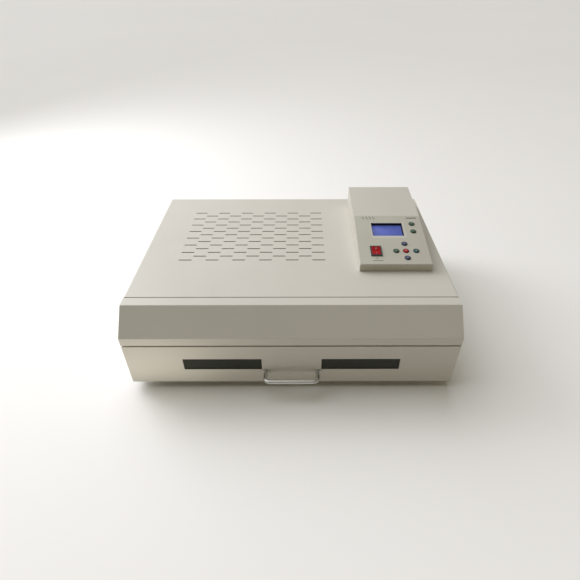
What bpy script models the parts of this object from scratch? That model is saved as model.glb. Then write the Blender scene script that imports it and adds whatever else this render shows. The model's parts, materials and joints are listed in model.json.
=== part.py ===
"""Infrared reflow oven of the drawer type, built as its separate pieces.

Metres, +Z up, the front towards -Y. The origin is on the surface that the feet stand on, under the
middle of the oven's length and width, with the handle and the exhaust collar counted in.
"""

import math

import bmesh
import bpy
from mathutils import Matrix, Vector

# Driving dimensions of the body
WIDTH = 0.700
DEPTH = 0.521
BODY_HEIGHT = 0.180
FOOT_HEIGHT = 0.020
HANDLE_REACH = 0.033
COLLAR_REACH = 0.030
SHEET = 0.0012
CLEAR = 0.0003
BEND = 0.0025

HALF = WIDTH / 2
FRONT = HANDLE_REACH - (DEPTH + HANDLE_REACH + COLLAR_REACH) / 2
REAR = FRONT + DEPTH
BOTTOM = FOOT_HEIGHT
TOP = FOOT_HEIGHT + BODY_HEIGHT
INNER = HALF - SHEET - CLEAR

# Hood above the drawer
SEAM_Y = FRONT + 0.073
SEAM_GAP = 0.0024
HOOD_EDGE_Y = FRONT + 0.048
LIP_TOP = TOP - 0.049
LIP_BOTTOM = TOP - 0.070
OPENING_HALF = 0.321
PAN_DEPTH = 0.020
SEAL_GAP = 0.0015
FLANGE_Y = FRONT + PAN_DEPTH + SEAL_GAP

# Slots in the top cover
SLOT_ROWS = 15
SLOTS_LONG_ROW = 6
SLOT_PITCH_Y = 0.0162
SLOT_STEP = 0.03115
SLOT_LENGTH = 0.0306
SLOT_WIDTH = 0.0030
SLOT_LEFT = -0.2644
SLOT_FRONT = FRONT + 0.2108

# Heating chamber
CHAMBER_HALF = 0.315
CHAMBER_FRONT = FLANGE_Y + SHEET + SEAL_GAP
CHAMBER_REAR = 0.178
CHAMBER_FLOOR = BOTTOM + SHEET + CLEAR
CHAMBER_TOP = 0.148
TUBE_COUNT = 6
TUBE_FIRST_Y = -0.190
TUBE_PITCH = 0.064
TUBE_Z = 0.135
TUBE_RADIUS = 0.006
CERAMIC_RADIUS = 0.0075
RACK_X = 0.310
PROBE_X = 0.060
PROBE_Z = 0.1215

# Drawer and its slides
DRAWER_TOP = LIP_BOTTOM - 0.0023
BOX_HALF = 0.3005
BOX_FLOOR = BOTTOM + 0.003
BOX_TOP = 0.100
BOX_REAR = 0.165
WINDOW_NEAR = 0.0635
WINDOW_FAR = 0.230
WINDOW_LOW = TOP - 0.1402
WINDOW_HIGH = TOP - 0.1090
RACK_LEVEL = 0.078
LEDGE_END = 0.025
HANDLE_Z = TOP - 0.148
HANDLE_HALF = 0.056
HANDLE_RADIUS = 0.0045
SLIDE_Z = 0.050
SLIDE_HEIGHT = 0.035
SLIDE_FRONT = -0.232
SLIDE_LENGTH = 0.400

# Rear compartment
FAN_SIZE = 0.080
FAN_DEPTH = 0.025
FAN_REAR = REAR - SHEET - 0.0005
FAN_BORE = 0.038
EXHAUST_X = -0.160
EXHAUST_Z = 0.112
COOLING_X = 0.170
COOLING_Z = 0.110
INLET_X = 0.275
INLET_Z = 0.060

# Control box on the top, and its sloping panel
CONTROL_LEFT = 0.1524
CONTROL_RIGHT = 0.3148
CONTROL_FRONT = FRONT + 0.1651
CONTROL_RIDGE = FRONT + 0.3345
CONTROL_REAR = FRONT + 0.4829
CONTROL_FRONT_HEIGHT = 0.0176
CONTROL_RIDGE_HEIGHT = 0.0475
CONTROL_REAR_HEIGHT = 0.0551
PANEL_SLOPE = math.atan2(CONTROL_RIDGE_HEIGHT - CONTROL_FRONT_HEIGHT, CONTROL_RIDGE - CONTROL_FRONT)
PANEL_LENGTH = math.hypot(CONTROL_RIDGE_HEIGHT - CONTROL_FRONT_HEIGHT, CONTROL_RIDGE - CONTROL_FRONT)
OVERLAY = 0.0005
LCD_X = -0.0045
LCD_S = 0.120
LCD_WIDTH = 0.075
LCD_HEIGHT = 0.047
LCD_DEPTH = 0.006
SWITCH_X = -0.041
SWITCH_S = 0.0432
BUTTON_RADIUS = 0.0058
BUTTON_TRAVEL = 0.0005
BOARD_DEPTH = 0.0125
BUTTONS = {
    "button_up": (0.0279, 0.0681),
    "button_left": (0.0056, 0.0440),
    "button_enter": (0.0278, 0.0440),
    "button_right": (0.0512, 0.0440),
    "button_down": (0.0280, 0.0210),
    "button_heat": (0.0567, 0.1394),
    "button_fan": (0.0563, 0.1120),
}

# Colour, roughness and metallic value of each finish
FINISHES = {
    "body_paint": ((0.62, 0.60, 0.55), 0.45, 0.0),
    "overlay": ((0.42, 0.41, 0.35), 0.40, 0.0),
    "galvanised": ((0.55, 0.56, 0.58), 0.40, 1.0),
    "reflector": ((0.80, 0.80, 0.82), 0.20, 1.0),
    "insulation": ((0.85, 0.83, 0.78), 0.95, 0.0),
    "quartz": ((0.75, 0.72, 0.68), 0.15, 0.0),
    "steel": ((0.60, 0.60, 0.60), 0.30, 1.0),
    "rubber": ((0.03, 0.03, 0.03), 0.80, 0.0),
    "black_plastic": ((0.03, 0.03, 0.03), 0.45, 0.0),
    "window": ((0.04, 0.04, 0.03), 0.08, 0.0),
    "circuit_board": ((0.03, 0.20, 0.08), 0.50, 0.0),
    "display": ((0.10, 0.12, 0.45), 0.15, 0.0),
    "red": ((0.55, 0.02, 0.03), 0.30, 0.0),
    "blue": ((0.03, 0.06, 0.20), 0.35, 0.0),
    "green": ((0.03, 0.14, 0.07), 0.35, 0.0),
    "teal": ((0.02, 0.16, 0.18), 0.35, 0.0),
}


# ---------------------------------------------------------------- modelling helpers


def clear_scene():
    for item in list(bpy.data.objects):
        bpy.data.objects.remove(item, do_unlink=True)


def new_collection(name):
    group = bpy.data.collections.new(name)
    bpy.context.scene.collection.children.link(group)
    return group


def finish(name):
    """The material of this name, made once."""
    made = bpy.data.materials.get(name)
    if made:
        return made
    colour, roughness, metallic = FINISHES[name]
    made = bpy.data.materials.new(name)
    made.use_nodes = True
    shader = made.node_tree.nodes["Principled BSDF"]
    shader.inputs["Base Color"].default_value = (*colour, 1.0)
    shader.inputs["Roughness"].default_value = roughness
    shader.inputs["Metallic"].default_value = metallic
    return made


def placed(name, mesh, matrix):
    """A new object, still only a shape: part() or tool() says what it is for."""
    item = bpy.data.objects.new(name, mesh)
    item.matrix_world = matrix
    bpy.context.scene.collection.objects.link(item)
    return item


def move_to(item, group):
    for holder in list(item.users_collection):
        holder.objects.unlink(item)
    group.objects.link(item)


def part(item, material, parent=None):
    """Makes the shape a named piece of the oven."""
    move_to(item, bpy.data.collections["reflow_oven"])
    item.data.materials.clear()
    item.data.materials.append(finish(material))
    item.data.shade_smooth()
    item.data.set_sharp_from_angle(angle=math.radians(30))
    if parent:
        own = item.matrix_world.copy()
        item.parent = parent
        item.matrix_world = own
    return item


def tool(item):
    """Makes the shape a helper, which cuts or joins other shapes and isn't built itself."""
    move_to(item, bpy.data.collections["cutters"])
    item.hide_render = True
    item.display_type = "WIRE"
    return item


def combine(target, other, operation):
    tool(other)
    step = target.modifiers.new(operation.lower(), "BOOLEAN")
    step.operation = operation
    step.solver = "EXACT"
    step.object = other
    return target


def cut(target, *others):
    for other in others:
        combine(target, other, "DIFFERENCE")
    return target


def join(target, *others):
    for other in others:
        combine(target, other, "UNION")
    return target


def box(name, low, high, frame=None):
    """A box between two corners, given in the frame's own axes."""
    low = Vector(low)
    high = Vector(high)
    mesh = bpy.data.meshes.new(name)
    shape = bmesh.new()
    bmesh.ops.create_cube(shape, size=1.0)
    bmesh.ops.scale(shape, vec=high - low, verts=shape.verts)
    shape.to_mesh(mesh)
    shape.free()
    return placed(name, mesh, (frame or Matrix()) @ Matrix.Translation((low + high) / 2))


def boxes(name, corners, frame=None):
    """Several boxes that don't touch each other, as one shape."""
    mesh = bpy.data.meshes.new(name)
    shape = bmesh.new()
    for low, high in corners:
        size = Vector(high) - Vector(low)
        made = bmesh.ops.create_cube(shape, size=1.0)["verts"]
        bmesh.ops.scale(shape, vec=size, verts=made)
        bmesh.ops.translate(shape, vec=(Vector(low) + Vector(high)) / 2, verts=made)
    shape.to_mesh(mesh)
    shape.free()
    return placed(name, mesh, frame or Matrix())


def facing(direction, point):
    """The matrix that turns +Z to the direction and puts the origin at the point."""
    turn = Vector((0, 0, 1)).rotation_difference(Vector(direction))
    return Matrix.Translation(point) @ turn.to_matrix().to_4x4()


def rod(name, start, end, radius, sides=16, frame=None):
    """A cylinder from one point to another."""
    start = Vector(start)
    end = Vector(end)
    mesh = bpy.data.meshes.new(name)
    shape = bmesh.new()
    bmesh.ops.create_cone(
        shape, cap_ends=True, segments=sides, radius1=radius, radius2=radius, depth=(end - start).length
    )
    shape.to_mesh(mesh)
    shape.free()
    return placed(name, mesh, (frame or Matrix()) @ facing(end - start, (start + end) / 2))


def turned(name, profile, matrix, steps, closed=False):
    """A profile of (radius, height) points, going down the outside, turned about its own Z axis."""
    mesh = bpy.data.meshes.new(name)
    shape = bmesh.new()
    verts = [shape.verts.new((radius, 0, height)) for radius, height in profile]
    pairs = list(zip(verts, verts[1:]))
    if closed:
        pairs.append((verts[-1], verts[0]))
    for pair in pairs:
        shape.edges.new(pair)
    shape.to_mesh(mesh)
    shape.free()
    item = placed(name, mesh, matrix)
    screw = item.modifiers.new("turn", "SCREW")
    screw.steps = steps
    screw.render_steps = steps
    screw.use_merge_vertices = True
    screw.merge_threshold = 0.00001
    screw.use_smooth_shade = True
    return item


def flat_shape(name, loops, thickness, matrix):
    """A filled outline, with any holes in it, as a plate centred on the matrix's XY plane."""
    data = bpy.data.curves.new(name, "CURVE")
    data.dimensions = "2D"
    data.fill_mode = "BOTH"
    data.extrude = thickness / 2
    for loop in loops:
        spline = data.splines.new("POLY")
        spline.points.add(len(loop) - 1)
        for point, (x, y) in zip(spline.points, loop):
            point.co = (x, y, 0, 1)
        spline.use_cyclic_u = True
    return meshed(name, data, matrix)


def meshed(name, data, matrix):
    """The mesh object of a curve, with its caps welded on."""
    curve = placed(name + "_curve", data, matrix)
    graph = bpy.context.evaluated_depsgraph_get()
    mesh = bpy.data.meshes.new_from_object(curve.evaluated_get(graph))
    bpy.data.objects.remove(curve)
    shape = bmesh.new()
    shape.from_mesh(mesh)
    bmesh.ops.remove_doubles(shape, verts=shape.verts, dist=0.00001)
    bmesh.ops.recalc_face_normals(shape, faces=shape.faces)
    shape.to_mesh(mesh)
    shape.free()
    return placed(name, mesh, matrix)


def across_x(x):
    """The plane at this x, whose own axes are the oven's Y and Z."""
    return Matrix(((0, 0, 1, x), (1, 0, 0, 0), (0, 1, 0, 0), (0, 0, 0, 1)))


def across_y(y):
    """The plane at this y, whose own axes are the oven's X and Z."""
    return Matrix(((1, 0, 0, 0), (0, 0, -1, y), (0, 1, 0, 0), (0, 0, 0, 1)))


def rectangle(left, low, right, high):
    return [(left, low), (right, low), (right, high), (left, high)]


def bent_sheet(path, thickness, bend, steps=3):
    """The outline of a folded sheet whose outer face follows the path. The metal lies to its left."""
    outer = []
    inner = []

    def add(point, direction):
        normal = Vector((-direction.y, direction.x))
        outer.append(tuple(point))
        inner.append(tuple(point + normal * thickness))

    points = [Vector(point) for point in path]
    add(points[0], (points[1] - points[0]).normalized())
    for before, corner, after in zip(points, points[1:], points[2:]):
        come = (corner - before).normalized()
        leave = (after - corner).normalized()
        turn = math.atan2(come.x * leave.y - come.y * leave.x, come.dot(leave))
        radius = bend if turn > 0 else bend - thickness
        start = corner - come * radius * math.tan(abs(turn) / 2)
        side = math.copysign(1, turn)
        centre = start + Vector((-come.y, come.x)) * radius * side
        for step in range(steps + 1):
            swing = Matrix.Rotation(turn * step / steps, 2)
            add(centre + swing @ (start - centre), swing @ come)
    add(points[-1], (points[-1] - points[-2]).normalized())
    return outer + inner[::-1]


# ---------------------------------------------------------------- body


def base_tray():
    rear = REAR - SHEET - CLEAR
    front = FLANGE_Y + SHEET + CLEAR
    wall = 0.018
    path = [(INNER, BOTTOM + wall), (INNER, BOTTOM), (-INNER, BOTTOM), (-INNER, BOTTOM + wall)]
    outline = bent_sheet(path[::-1], SHEET, BEND)
    tray = flat_shape("base_tray", [outline], rear - front, across_y((rear + front) / 2))
    half = INNER - 0.004
    back = box("tray_back", (-half, rear - SHEET, BOTTOM + SHEET / 2), (half, rear, BOTTOM + wall))
    join(tray, back)
    intake = [
        ((x, 0.196, BOTTOM - 0.01), (x + 0.004, 0.244, BOTTOM + 0.01))
        for x in [side * 0.17 - 0.036 + 0.009 * i for side in (-1, 1) for i in range(8)]
    ]
    cut(tray, boxes("tray_intake", intake))
    return part(tray, "galvanised")


def feet():
    height = FOOT_HEIGHT - CLEAR
    profile = [(0.0, height), (0.016, height), (0.016, height - 0.003), (0.0135, 0.0015)]
    profile += [(0.012, 0.0), (0.005, 0.0), (0.005, 0.008), (0.0, 0.008)]
    for row, y in (("front_", -0.195), ("rear_", 0.220)):
        for place, side in (("left", -1), ("right", 1)):
            middle = Matrix.Translation((side * 0.305, y, 0))
            part(turned("foot_" + row + place, profile, middle, 16), "rubber")


def slot_corners():
    """The corners of every slot: long rows and short rows alternate, half a pitch apart."""
    pitch = 2 * SLOT_STEP
    corners = []
    for row in range(SLOT_ROWS):
        short = row % 2
        y = SLOT_FRONT + row * SLOT_PITCH_Y
        for i in range(SLOTS_LONG_ROW - short):
            x = SLOT_LEFT + i * pitch + short * SLOT_STEP
            low = (x, y - SLOT_WIDTH / 2, TOP - 0.01)
            high = (x + SLOT_LENGTH, y + SLOT_WIDTH / 2, TOP + 0.01)
            corners.append((low, high))
    return corners


def top_cover():
    front = SEAM_Y + SEAM_GAP / 2
    path = [(HALF, BOTTOM), (HALF, TOP), (-HALF, TOP), (-HALF, BOTTOM)]
    outline = bent_sheet(path, SHEET, BEND)
    cover = flat_shape("top_cover", [outline], REAR - front, across_y((REAR + front) / 2))
    wiring = ((0.200, 0.110, TOP - 0.01), (0.260, 0.150, TOP + 0.01))
    side_vents = [
        ((side * HALF - 0.01, 0.190 + 0.009 * i, 0.075), (side * HALF + 0.01, 0.193 + 0.009 * i, 0.125))
        for side in (-1, 1)
        for i in range(6)
    ]
    cut(cover, boxes("cover_openings", slot_corners() + [wiring] + side_vents))
    return part(cover, "body_paint")


def front_hood():
    """The folded strip above the drawer, with its cheeks and the flanges beside the drawer's opening."""
    header_top = CHAMBER_TOP - 0.001
    flange_rear = FLANGE_Y + SHEET
    path = [
        (SEAM_Y - SEAM_GAP / 2, TOP),
        (HOOD_EDGE_Y, TOP),
        (FRONT, LIP_TOP),
        (FRONT, LIP_BOTTOM),
        (flange_rear, LIP_BOTTOM),
        (flange_rear, header_top),
    ]
    hood = flat_shape("front_hood", [bent_sheet(path, SHEET, BEND)], WIDTH, across_x(0))
    cheek = [
        (SEAM_Y - SEAM_GAP / 2, BOTTOM),
        (SEAM_Y - SEAM_GAP / 2, TOP - SHEET / 2),
        (HOOD_EDGE_Y + 0.001, TOP - SHEET / 2),
        (FRONT + SHEET / 2, LIP_TOP),
        (FRONT + SHEET / 2, LIP_BOTTOM + SHEET / 2),
        (FLANGE_Y, LIP_BOTTOM + SHEET / 2),
        (FLANGE_Y, BOTTOM),
    ]
    under = TOP - SHEET - CLEAR
    for side in (-1, 1):
        join(hood, flat_shape("hood_cheek", [cheek], SHEET, across_x(side * (HALF - SHEET / 2))))
        edge = side * OPENING_HALF
        outside = side * (HALF - SHEET / 2)
        flange = box(
            "hood_flange",
            (min(edge, outside), FLANGE_Y, BOTTOM),
            (max(edge, outside), flange_rear, LIP_BOTTOM + 0.008),
        )
        inside = side * (OPENING_HALF + SHEET)
        reveal = box(
            "hood_reveal",
            (min(edge, inside), FLANGE_Y + SHEET / 2, BOTTOM + SHEET + CLEAR),
            (max(edge, inside), FLANGE_Y + 0.015, LIP_BOTTOM + 0.007),
        )
        join(hood, flange, reveal)
    half = INNER - 0.004
    root = box("tongue_root", (-half, SEAM_Y - 0.012, under - SHEET), (half, SEAM_Y - 0.002, TOP - SHEET / 2))
    tongue = box("tongue", (-half, SEAM_Y - 0.011, under - SHEET), (half, SEAM_Y + 0.012, under))
    join(hood, root, tongue)
    return part(hood, "body_paint")


def rear_panel():
    low = REAR - SHEET - 0.01
    high = REAR + 0.01
    panel = box("rear_panel", (-INNER, REAR - SHEET, BOTTOM), (INNER, REAR, TOP - BEND - CLEAR))
    slots = [
        ((COOLING_X - half, low, COOLING_Z + z - 0.002), (COOLING_X + half, high, COOLING_Z + z + 0.002))
        for z, half in [(0.0085 * i, math.sqrt(0.036**2 - (0.0085 * i) ** 2)) for i in range(-4, 5)]
    ]
    cut(panel, rod("exhaust_hole", (EXHAUST_X, low, EXHAUST_Z), (EXHAUST_X, high, EXHAUST_Z), 0.0365, 32))
    cut(panel, boxes("fan_slots", slots))
    inlet = ((INLET_X - 0.017, low, INLET_Z - 0.013), (INLET_X + 0.017, high, INLET_Z + 0.013))
    cut(panel, box("inlet_hole", *inlet))
    return part(panel, "body_paint")


# ---------------------------------------------------------------- heating chamber


def chamber():
    for name, side in (("chamber_left_wall", -1), ("chamber_right_wall", 1)):
        near = side * CHAMBER_HALF
        far = side * (CHAMBER_HALF + SHEET)
        low = (min(near, far), CHAMBER_FRONT, CHAMBER_FLOOR)
        wall = box(name, low, (max(near, far), CHAMBER_REAR, CHAMBER_TOP))
        part(wall, "reflector")
    wide = CHAMBER_HALF + SHEET
    rear = CHAMBER_REAR + CLEAR
    back = box("chamber_rear_wall", (-wide, rear, CHAMBER_FLOOR), (wide, rear + SHEET, CHAMBER_TOP))
    cut(back, rod("duct_hole", (EXHAUST_X, 0.16, EXHAUST_Z), (EXHAUST_X, 0.20, EXHAUST_Z), 0.030, 24))
    cut(back, rod("probe_hole", (PROBE_X, 0.16, PROBE_Z), (PROBE_X, 0.20, PROBE_Z), 0.002, 12))
    part(back, "reflector")
    floor = CHAMBER_TOP + CLEAR
    ceiling = box("chamber_ceiling", (-wide, CHAMBER_FRONT, floor), (wide, rear + SHEET, floor + SHEET))
    part(ceiling, "reflector")
    low = floor + SHEET + CLEAR
    blanket = box("insulation_blanket", (-wide, CHAMBER_FRONT + 0.004, low), (wide, rear, low + 0.020))
    soften = blanket.modifiers.new("soft_edges", "BEVEL")
    soften.width = 0.004
    soften.segments = 2
    part(blanket, "insulation")


def heater_tube_places():
    return [TUBE_FIRST_Y + i * TUBE_PITCH for i in range(TUBE_COUNT)]


def heaters():
    """Quartz tubes with ceramic ends, whose tips pass through the racks at both sides."""
    quartz_end = 0.293
    ceramic_end = RACK_X - 0.001
    tip_end = CHAMBER_HALF - 0.0005
    half = [(0.0, tip_end), (0.0045, tip_end), (0.0045, ceramic_end), (CERAMIC_RADIUS, ceramic_end)]
    half += [(CERAMIC_RADIUS, quartz_end), (TUBE_RADIUS, quartz_end)]
    profile = half + [(radius, -height) for radius, height in reversed(half)]
    for number, y in enumerate(heater_tube_places(), start=1):
        tube = turned(f"heater_tube_{number}", profile, facing((1, 0, 0), (0, y, TUBE_Z)), 12)
        part(tube, "quartz")
    for name, side in (("heater_rack_left", -1), ("heater_rack_right", 1)):
        near = side * RACK_X
        far = side * (RACK_X + SHEET)
        foot = side * (RACK_X - 0.012)
        top = CHAMBER_TOP - 0.0002
        y_low = TUBE_FIRST_Y - 0.018
        y_high = -TUBE_FIRST_Y - 0.042
        rack = box(name, (min(near, far), y_low, 0.1245), (max(near, far), y_high, top))
        join(rack, box("rack_foot", (min(foot, far), y_low, top - SHEET), (max(foot, far), y_high, top)))
        for y in heater_tube_places():
            cut(rack, rod("rack_hole", (side * 0.300, y, TUBE_Z), (side * 0.320, y, TUBE_Z), 0.0052, 12))
        part(rack, "galvanised")


def thermocouple():
    probe = rod("thermocouple_probe", (PROBE_X, 0.020, PROBE_Z), (PROBE_X, 0.215, PROBE_Z), 0.0015, 10)
    join(probe, rod("probe_gland", (PROBE_X, 0.1800, PROBE_Z), (PROBE_X, 0.1880, PROBE_Z), 0.005, 6))
    return part(probe, "steel")


# ---------------------------------------------------------------- rear compartment


def fan(name, x, z):
    """An axial fan: a square frame with a round bore, and a rotor that turns on the frame's pin."""
    half = FAN_SIZE / 2
    front = FAN_REAR - FAN_DEPTH
    frame = box(name + "_frame", (x - half, front, z - half), (x + half, FAN_REAR, z + half))
    cut(frame, rod("fan_bore", (x, front - 0.01, z), (x, FAN_REAR + 0.01, z), FAN_BORE, 24))
    hub_front = FAN_REAR - 0.0025
    for corner in (1, 3):
        swing = Matrix.Translation((x, 0, z)) @ Matrix.Rotation(math.radians(45 * corner), 4, "Y")
        bar = ((-FAN_BORE - 0.004, hub_front, -0.0015), (FAN_BORE + 0.004, FAN_REAR - 0.0002, 0.0015))
        join(frame, box("fan_strut", *bar, swing))
    join(frame, rod("fan_hub", (x, hub_front - 0.0002, z), (x, FAN_REAR - 0.0001, z), 0.019, 20))
    join(frame, rod("fan_pin", (x, front + 0.008, z), (x, FAN_REAR - 0.001, z), 0.0015, 10))
    part(frame, "black_plastic")
    start = front + 0.002
    end = hub_front - 0.0015
    rotor = rod(name + "_rotor", (x, start, z), (x, end, z), 0.0180, 20)
    for blade in range(7):
        turn = Matrix.Translation((x, (start + end) / 2, z)) @ Matrix.Rotation(math.tau * blade / 7, 4, "Y")
        pitch = Matrix.Rotation(math.radians(52), 4, "X")
        join(rotor, box("fan_blade", (0.0165, -0.0008, -0.011), (0.0362, 0.0008, 0.011), turn @ pitch))
    cut(rotor, rod("rotor_bore", (x, start + 0.004, z), (x, end + 0.01, z), 0.0019, 10))
    return part(rotor, "black_plastic")


def exhaust():
    front = CHAMBER_REAR + SHEET + 2 * CLEAR
    back = FAN_REAR - FAN_DEPTH - CLEAR
    wall = [(0.0390, back), (0.0390, back - SHEET), (0.0360, back - SHEET), (0.0360, front + SHEET)]
    wall += [(0.0390, front + SHEET), (0.0390, front), (0.0348, front), (0.0348, back)]
    duct = turned("exhaust_duct", wall, facing((0, 1, 0), (EXHAUST_X, 0, EXHAUST_Z)), 24, closed=True)
    part(duct, "galvanised")
    base = REAR + CLEAR
    tip = REAR + COLLAR_REACH
    ring = [(0.0375, tip), (0.0375, base + SHEET), (0.0460, base + SHEET), (0.0460, base)]
    ring += [(0.0363, base), (0.0363, tip)]
    collar = turned("exhaust_collar", ring, facing((0, 1, 0), (EXHAUST_X, 0, EXHAUST_Z)), 32, closed=True)
    part(collar, "galvanised")


def power_inlet():
    """A 16 A appliance inlet: a flanged shell with three flat pins."""
    face = REAR + 0.0035
    front = REAR - 0.022

    def block(name, half_width, half_height, low, high):
        corner = (INLET_X - half_width, low, INLET_Z - half_height)
        return box(name, corner, (INLET_X + half_width, high, INLET_Z + half_height))

    inlet = block("power_inlet", 0.0165, 0.0125, front, face)
    join(inlet, block("inlet_flange", 0.0295, 0.0155, REAR + CLEAR, face))
    cut(inlet, block("inlet_mouth", 0.0145, 0.0105, front + 0.003, face + 0.01))
    for x, z in ((-0.0080, -0.003), (0.0, 0.0035), (0.0080, -0.003)):
        low = (INLET_X + x - 0.001, front + 0.001, INLET_Z + z - 0.004)
        high = (INLET_X + x + 0.001, face - 0.003, INLET_Z + z + 0.004)
        join(inlet, box("inlet_pin", low, high))
    return part(inlet, "black_plastic")


def electronics():
    """What stands on the base tray in the rear compartment."""
    floor = BOTTOM + SHEET + CLEAR
    board_low = floor + 0.010
    board = box("power_board", (-0.090, 0.186, board_low), (0.100, 0.252, board_low + 0.0016))
    for x in (-0.084, 0.094):
        for y in (0.191, 0.247):
            join(board, rod("standoff", (x, y, floor), (x, y, board_low + 0.0010), 0.003, 6))
    for x, y, width, depth, height in (
        (-0.070, 0.192, 0.020, 0.030, 0.018),
        (-0.040, 0.192, 0.020, 0.030, 0.018),
        (0.000, 0.195, 0.030, 0.030, 0.024),
        (0.050, 0.192, 0.030, 0.012, 0.014),
    ):
        low = (x, y, board_low + 0.0010)
        join(board, box("board_block", low, (x + width, y + depth, board_low + height)))
    part(board, "circuit_board")
    core = box("transformer", (-0.335, 0.194, floor), (-0.285, 0.236, floor + 0.042))
    join(core, box("winding", (-0.327, 0.186, floor + 0.008), (-0.293, 0.244, floor + 0.034)))
    part(core, "steel")
    sink_left = -0.272
    sink_low = (sink_left, 0.186, floor + 0.032)
    sink = box("relay_heatsink", sink_low, (sink_left + 0.058, 0.250, floor + 0.038))
    for fin in range(8):
        x = sink_left + fin * 0.008
        join(sink, box("fin", (x, 0.186, floor), (x + 0.002, 0.250, floor + 0.033)))
    part(sink, "steel")
    relay_low = floor + 0.038 + CLEAR
    relay = box("solid_state_relay", (-0.266, 0.190, relay_low), (-0.221, 0.248, relay_low + 0.022))
    part(relay, "black_plastic")


# ---------------------------------------------------------------- control box


def panel_plane():
    """The empty at the middle of the sloping panel's front edge: its X is across, Y up the slope, Z out."""
    plane = bpy.data.objects.new("panel_plane", None)
    place = ((CONTROL_LEFT + CONTROL_RIGHT) / 2, CONTROL_FRONT, TOP + CONTROL_FRONT_HEIGHT)
    plane.matrix_world = Matrix.Translation(place) @ Matrix.Rotation(PANEL_SLOPE, 4, "X")
    bpy.data.collections["reflow_oven"].objects.link(plane)
    bpy.context.view_layer.update()
    return plane


def panel_holes(name, plane, low, high, margin):
    """What the display, the switch and the buttons pass through."""
    frame = plane.matrix_world
    holes = [
        box(
            name + "_display",
            (LCD_X - LCD_WIDTH / 2, LCD_S - LCD_HEIGHT / 2, low),
            (LCD_X + LCD_WIDTH / 2, LCD_S + LCD_HEIGHT / 2, high),
            frame,
        ),
        box(
            name + "_switch",
            (SWITCH_X - 0.0113, SWITCH_S - 0.0143, low),
            (SWITCH_X + 0.0113, SWITCH_S + 0.0143, high),
            frame,
        ),
    ]
    for x, s in BUTTONS.values():
        holes.append(rod(name + "_button", (x, s, low), (x, s, high), BUTTON_RADIUS + margin, 16, frame))
    return holes


def wedge_outline(inset):
    """The control box from the side, drawn this far inside its outer faces."""
    drop = inset / math.cos(PANEL_SLOPE)
    base = TOP + CLEAR - (0.01 if inset else 0)
    rear_slope = (CONTROL_REAR_HEIGHT - CONTROL_RIDGE_HEIGHT) / (CONTROL_REAR - CONTROL_RIDGE)
    front_rise = inset * math.tan(PANEL_SLOPE)
    return [
        (CONTROL_FRONT + inset, base),
        (CONTROL_REAR - inset, base),
        (CONTROL_REAR - inset, TOP + CONTROL_REAR_HEIGHT - inset * (1 + rear_slope)),
        (CONTROL_RIDGE, TOP + CONTROL_RIDGE_HEIGHT - drop),
        (CONTROL_FRONT + inset, TOP + CONTROL_FRONT_HEIGHT - drop + front_rise),
    ]


def control_box_cover(plane):
    middle = across_x((CONTROL_LEFT + CONTROL_RIGHT) / 2)
    width = CONTROL_RIGHT - CONTROL_LEFT
    cover = flat_shape("control_box_cover", [wedge_outline(0)], width, middle)
    cut(cover, flat_shape("control_hollow", [wedge_outline(SHEET)], width - 2 * SHEET, middle))
    cut(cover, *panel_holes("cover", plane, -0.004, 0.004, 0.0004))
    return part(cover, "body_paint")


def panel_overlay(plane):
    half = (CONTROL_RIGHT - CONTROL_LEFT) / 2 - 0.0015
    overlay = box(
        "panel_overlay",
        (-half, 0.0012, CLEAR),
        (half, PANEL_LENGTH - 0.0010, CLEAR + OVERLAY),
        plane.matrix_world,
    )
    cut(overlay, *panel_holes("overlay", plane, -0.004, 0.004, 0.0004))
    return part(overlay, "overlay", plane)


def display(plane):
    frame = plane.matrix_world
    deep = -LCD_DEPTH

    def block(name, margin, low, high):
        across = LCD_WIDTH / 2 + margin
        along = LCD_HEIGHT / 2 + margin
        return box(name, (LCD_X - across, LCD_S - along, low), (LCD_X + across, LCD_S + along, high), frame)

    bezel = block("lcd_bezel", 0.0045, deep - 0.0038, -SHEET - CLEAR)
    cut(bezel, block("lcd_hollow", 0.0005, deep - 0.0022, 0.002))
    part(bezel, "black_plastic", plane)
    part(block("lcd_glass", 0.0002, deep - 0.0019, deep), "display", plane)


def control_board(plane):
    """The board under the panel, with a small push switch below each button."""
    frame = plane.matrix_world
    top = -BOARD_DEPTH
    board = box("control_board", (-0.024, 0.012, top - 0.0016), (0.072, 0.155, top), frame)
    for x, s in BUTTONS.values():
        low = (x - 0.003, s - 0.003, top - 0.0008)
        join(board, box("push_switch", low, (x + 0.003, s + 0.003, top + 0.0025), frame))
    return part(board, "circuit_board", plane)


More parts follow.
